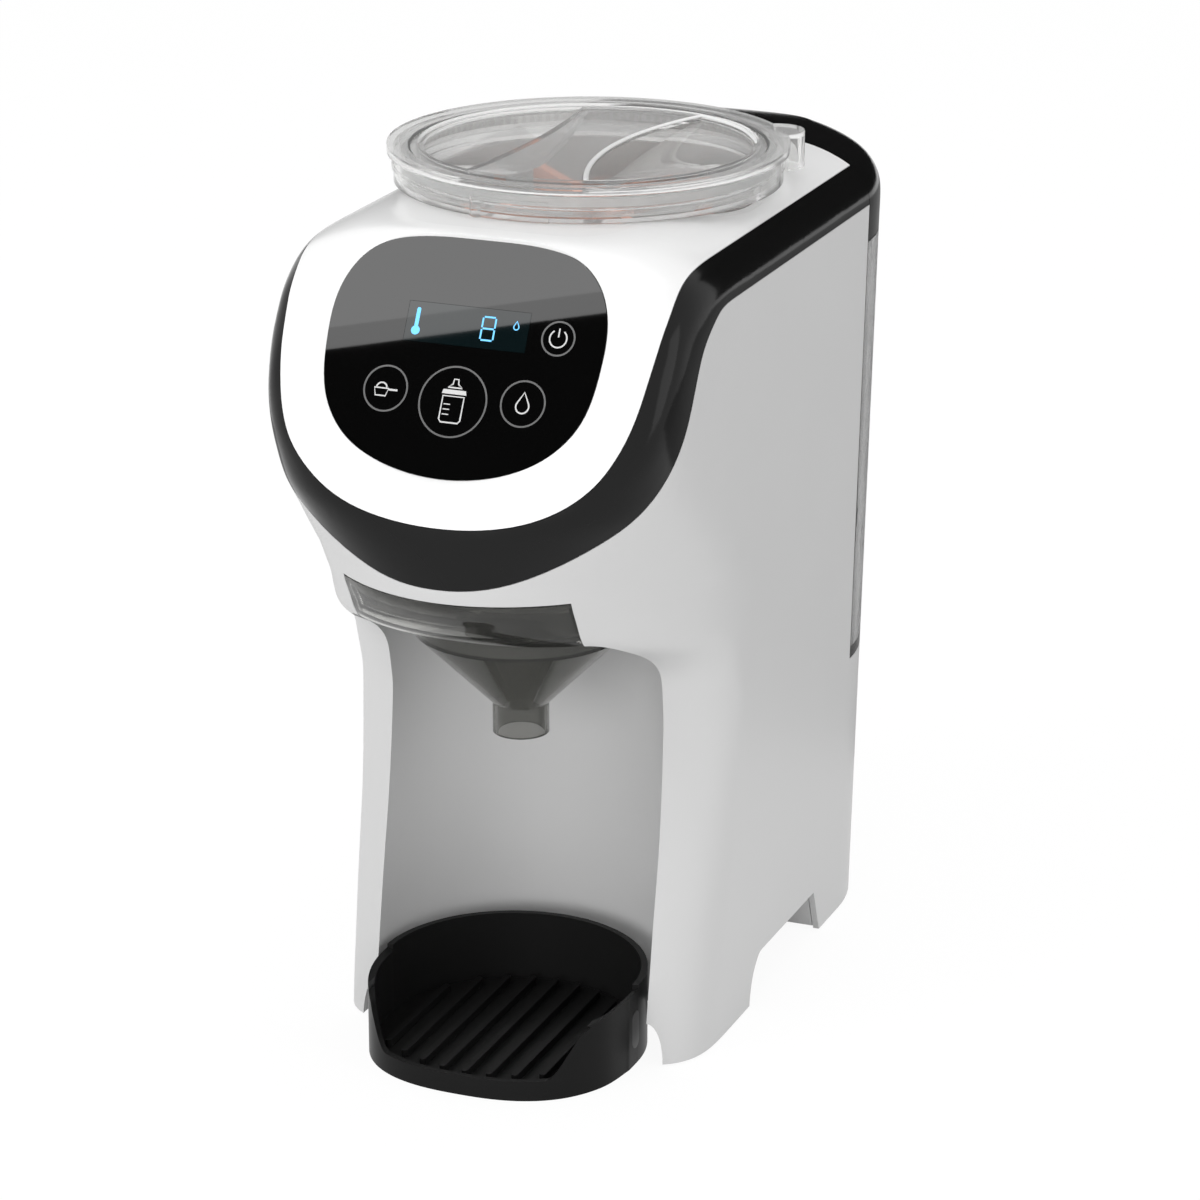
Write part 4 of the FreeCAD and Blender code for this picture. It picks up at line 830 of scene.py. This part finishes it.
class FORMULA_OT_display_signs(bpy.types.Operator):
    """Light the display's thermometer, digit and unit mark"""
    bl_idname = "formula_maker.display_signs"
    bl_label = "Display signs"

    def execute(self, context):
        signs = {
            "display_thermometer": display_thermometer(),
            "display_digit": display_digit(context.scene.formula_maker_sizes.digit_height),
            "display_drop": display_drop(),
        }
        for name, mesh in signs.items():
            finish_piece(mesh, name, panel_matrix(SIGN_LIFT), "Display sign", "housing")
        return {"FINISHED"}


class FORMULA_OT_lid_edge(bpy.types.Operator):
    """Raise the edge round the finger pocket at the right of the lid's grip bar, in a white that paints the
    highlight along it
    """
    bl_idname = "formula_maker.lid_edge"
    bl_label = "Edge of the lid's pocket"

    def execute(self, context):
        sizes = context.scene.formula_maker_sizes
        finish_piece(pocket_edge(sizes.edge_width, sizes.edge_height), "lid_pocket_edge_highlight",
                     Matrix.Translation(LID_AXIS), "Lid edge painted highlight", "container_lid", smooth=True)
        return {"FINISHED"}


class FORMULA_OT_tray_marks(bpy.types.Operator):
    """Add the flat marks on the tray's sides, whose lighter finish paints a highlight there"""
    bl_idname = "formula_maker.tray_marks"
    bl_label = "Tray marks"

    def execute(self, context):
        sizes = context.scene.formula_maker_sizes
        for hand, middle in MARK_TURNS.items():
            finish_piece(tray_highlight_mark(middle, sizes.mark_width, sizes.mark_height), f"tray_highlight_mark_{hand}",
                         Matrix.Translation(TRAY_AXIS), "Tray highlight mark", "drip_tray")
        return {"FINISHED"}


class FORMULA_OT_valve_coil(bpy.types.Operator):
    """Wind the spring that closes the tank's valve"""
    bl_idname = "formula_maker.valve_coil"
    bl_label = "Valve spring"

    def execute(self, context):
        low, high = (Vector(corner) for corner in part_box("valve_spring"))
        middle = (low + high) / 2
        mesh = coil((high.x - low.x) / 2 - COIL_INSET, low.z + WIRE_RADIUS, high.z - WIRE_RADIUS)
        spring = finish_piece(mesh, "valve_coil", Matrix.Translation((middle.x, middle.y, 0)),
                              "Bright steel", "water_tank", smooth=True)
        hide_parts("valve_spring")
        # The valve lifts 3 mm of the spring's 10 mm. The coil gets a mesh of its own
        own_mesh(spring)
        return {"FINISHED"}


class FORMULA_OT_studio(bpy.types.Operator):
    """Set up the floor, the lamps and the camera"""
    bl_idname = "formula_maker.studio"
    bl_label = "Studio"

    def execute(self, context):
        scene = context.scene
        studio = scene.formula_maker_studio
        floor = flat_sheet("floor", (FLOOR_SIZE, FLOOR_SIZE))
        floor.data.materials.append(floor_finish())
        front_lamp(studio.camera_place, studio.front_power)
        upright = Matrix.Rotation(math.pi / 2, 4, "X")
        gloss_card("rear card", REAR_CARD_SIZE, Matrix.Translation(REAR_CARD_PLACE) @ upright)
        gloss_card("floor card", FLOOR_CARD_SIZE, Matrix.Translation(FLOOR_CARD_PLACE), tone=GREY_CARD)
        aimed_lamp("low lamp", studio.low_power, *LOW_LAMP)
        aimed_lamp("top lamp", studio.top_power, *TOP_LAMP)
        aimed_lamp("side lamp", studio.side_power, *SIDE_LAMP)
        scene.world = studio_world(studio.sky)
        scene.view_settings.view_transform = "Standard"
        scene.camera = studio_camera(studio)
        return {"FINISHED"}


# ---------------------------------------------------------------- sidebar and start
# Where the scene keeps each group of values
SCENE_VALUES = {
    "formula_maker_colours": FormulaMakerColours,
    "formula_maker_sizes": FormulaMakerSizes,
    "formula_maker_studio": FormulaMakerStudio,
}
OPERATORS = (FORMULA_OT_finish_nodes, FORMULA_OT_key_signs, FORMULA_OT_display_signs, FORMULA_OT_lid_edge,
             FORMULA_OT_tray_marks, FORMULA_OT_valve_coil, FORMULA_OT_studio)


class FORMULA_PT_panel(bpy.types.Panel):
    """Lists the steps and the values they use"""
    bl_idname = "FORMULA_PT_panel"
    bl_label = "Formula maker"
    bl_space_type = "VIEW_3D"
    bl_region_type = "UI"
    bl_category = "Formula maker"

    def draw(self, context):
        layout = self.layout
        for scene_name in SCENE_VALUES:
            group = getattr(context.scene, scene_name)
            column = layout.column()
            for name in group.bl_rna.properties.keys():
                if name not in ("rna_type", "name"):
                    column.prop(group, name)
        for operator in OPERATORS:
            layout.operator(operator.bl_idname)


CLASSES = (*SCENE_VALUES.values(), *OPERATORS, FORMULA_PT_panel)


def register():
    for cls in CLASSES:
        bpy.utils.register_class(cls)
    for name, group in SCENE_VALUES.items():
        setattr(bpy.types.Scene, name, PointerProperty(type=group))


def unregister():
    for name in SCENE_VALUES:
        delattr(bpy.types.Scene, name)
    for cls in reversed(CLASSES):
        bpy.utils.unregister_class(cls)


def main():
    register()
    bpy.ops.formula_maker.finish_nodes()
    bpy.ops.formula_maker.key_signs()
    bpy.ops.formula_maker.display_signs()
    bpy.ops.formula_maker.lid_edge()
    bpy.ops.formula_maker.tray_marks()
    bpy.ops.formula_maker.valve_coil()
    bpy.ops.formula_maker.studio()


if __name__ == "__main__":
    main()
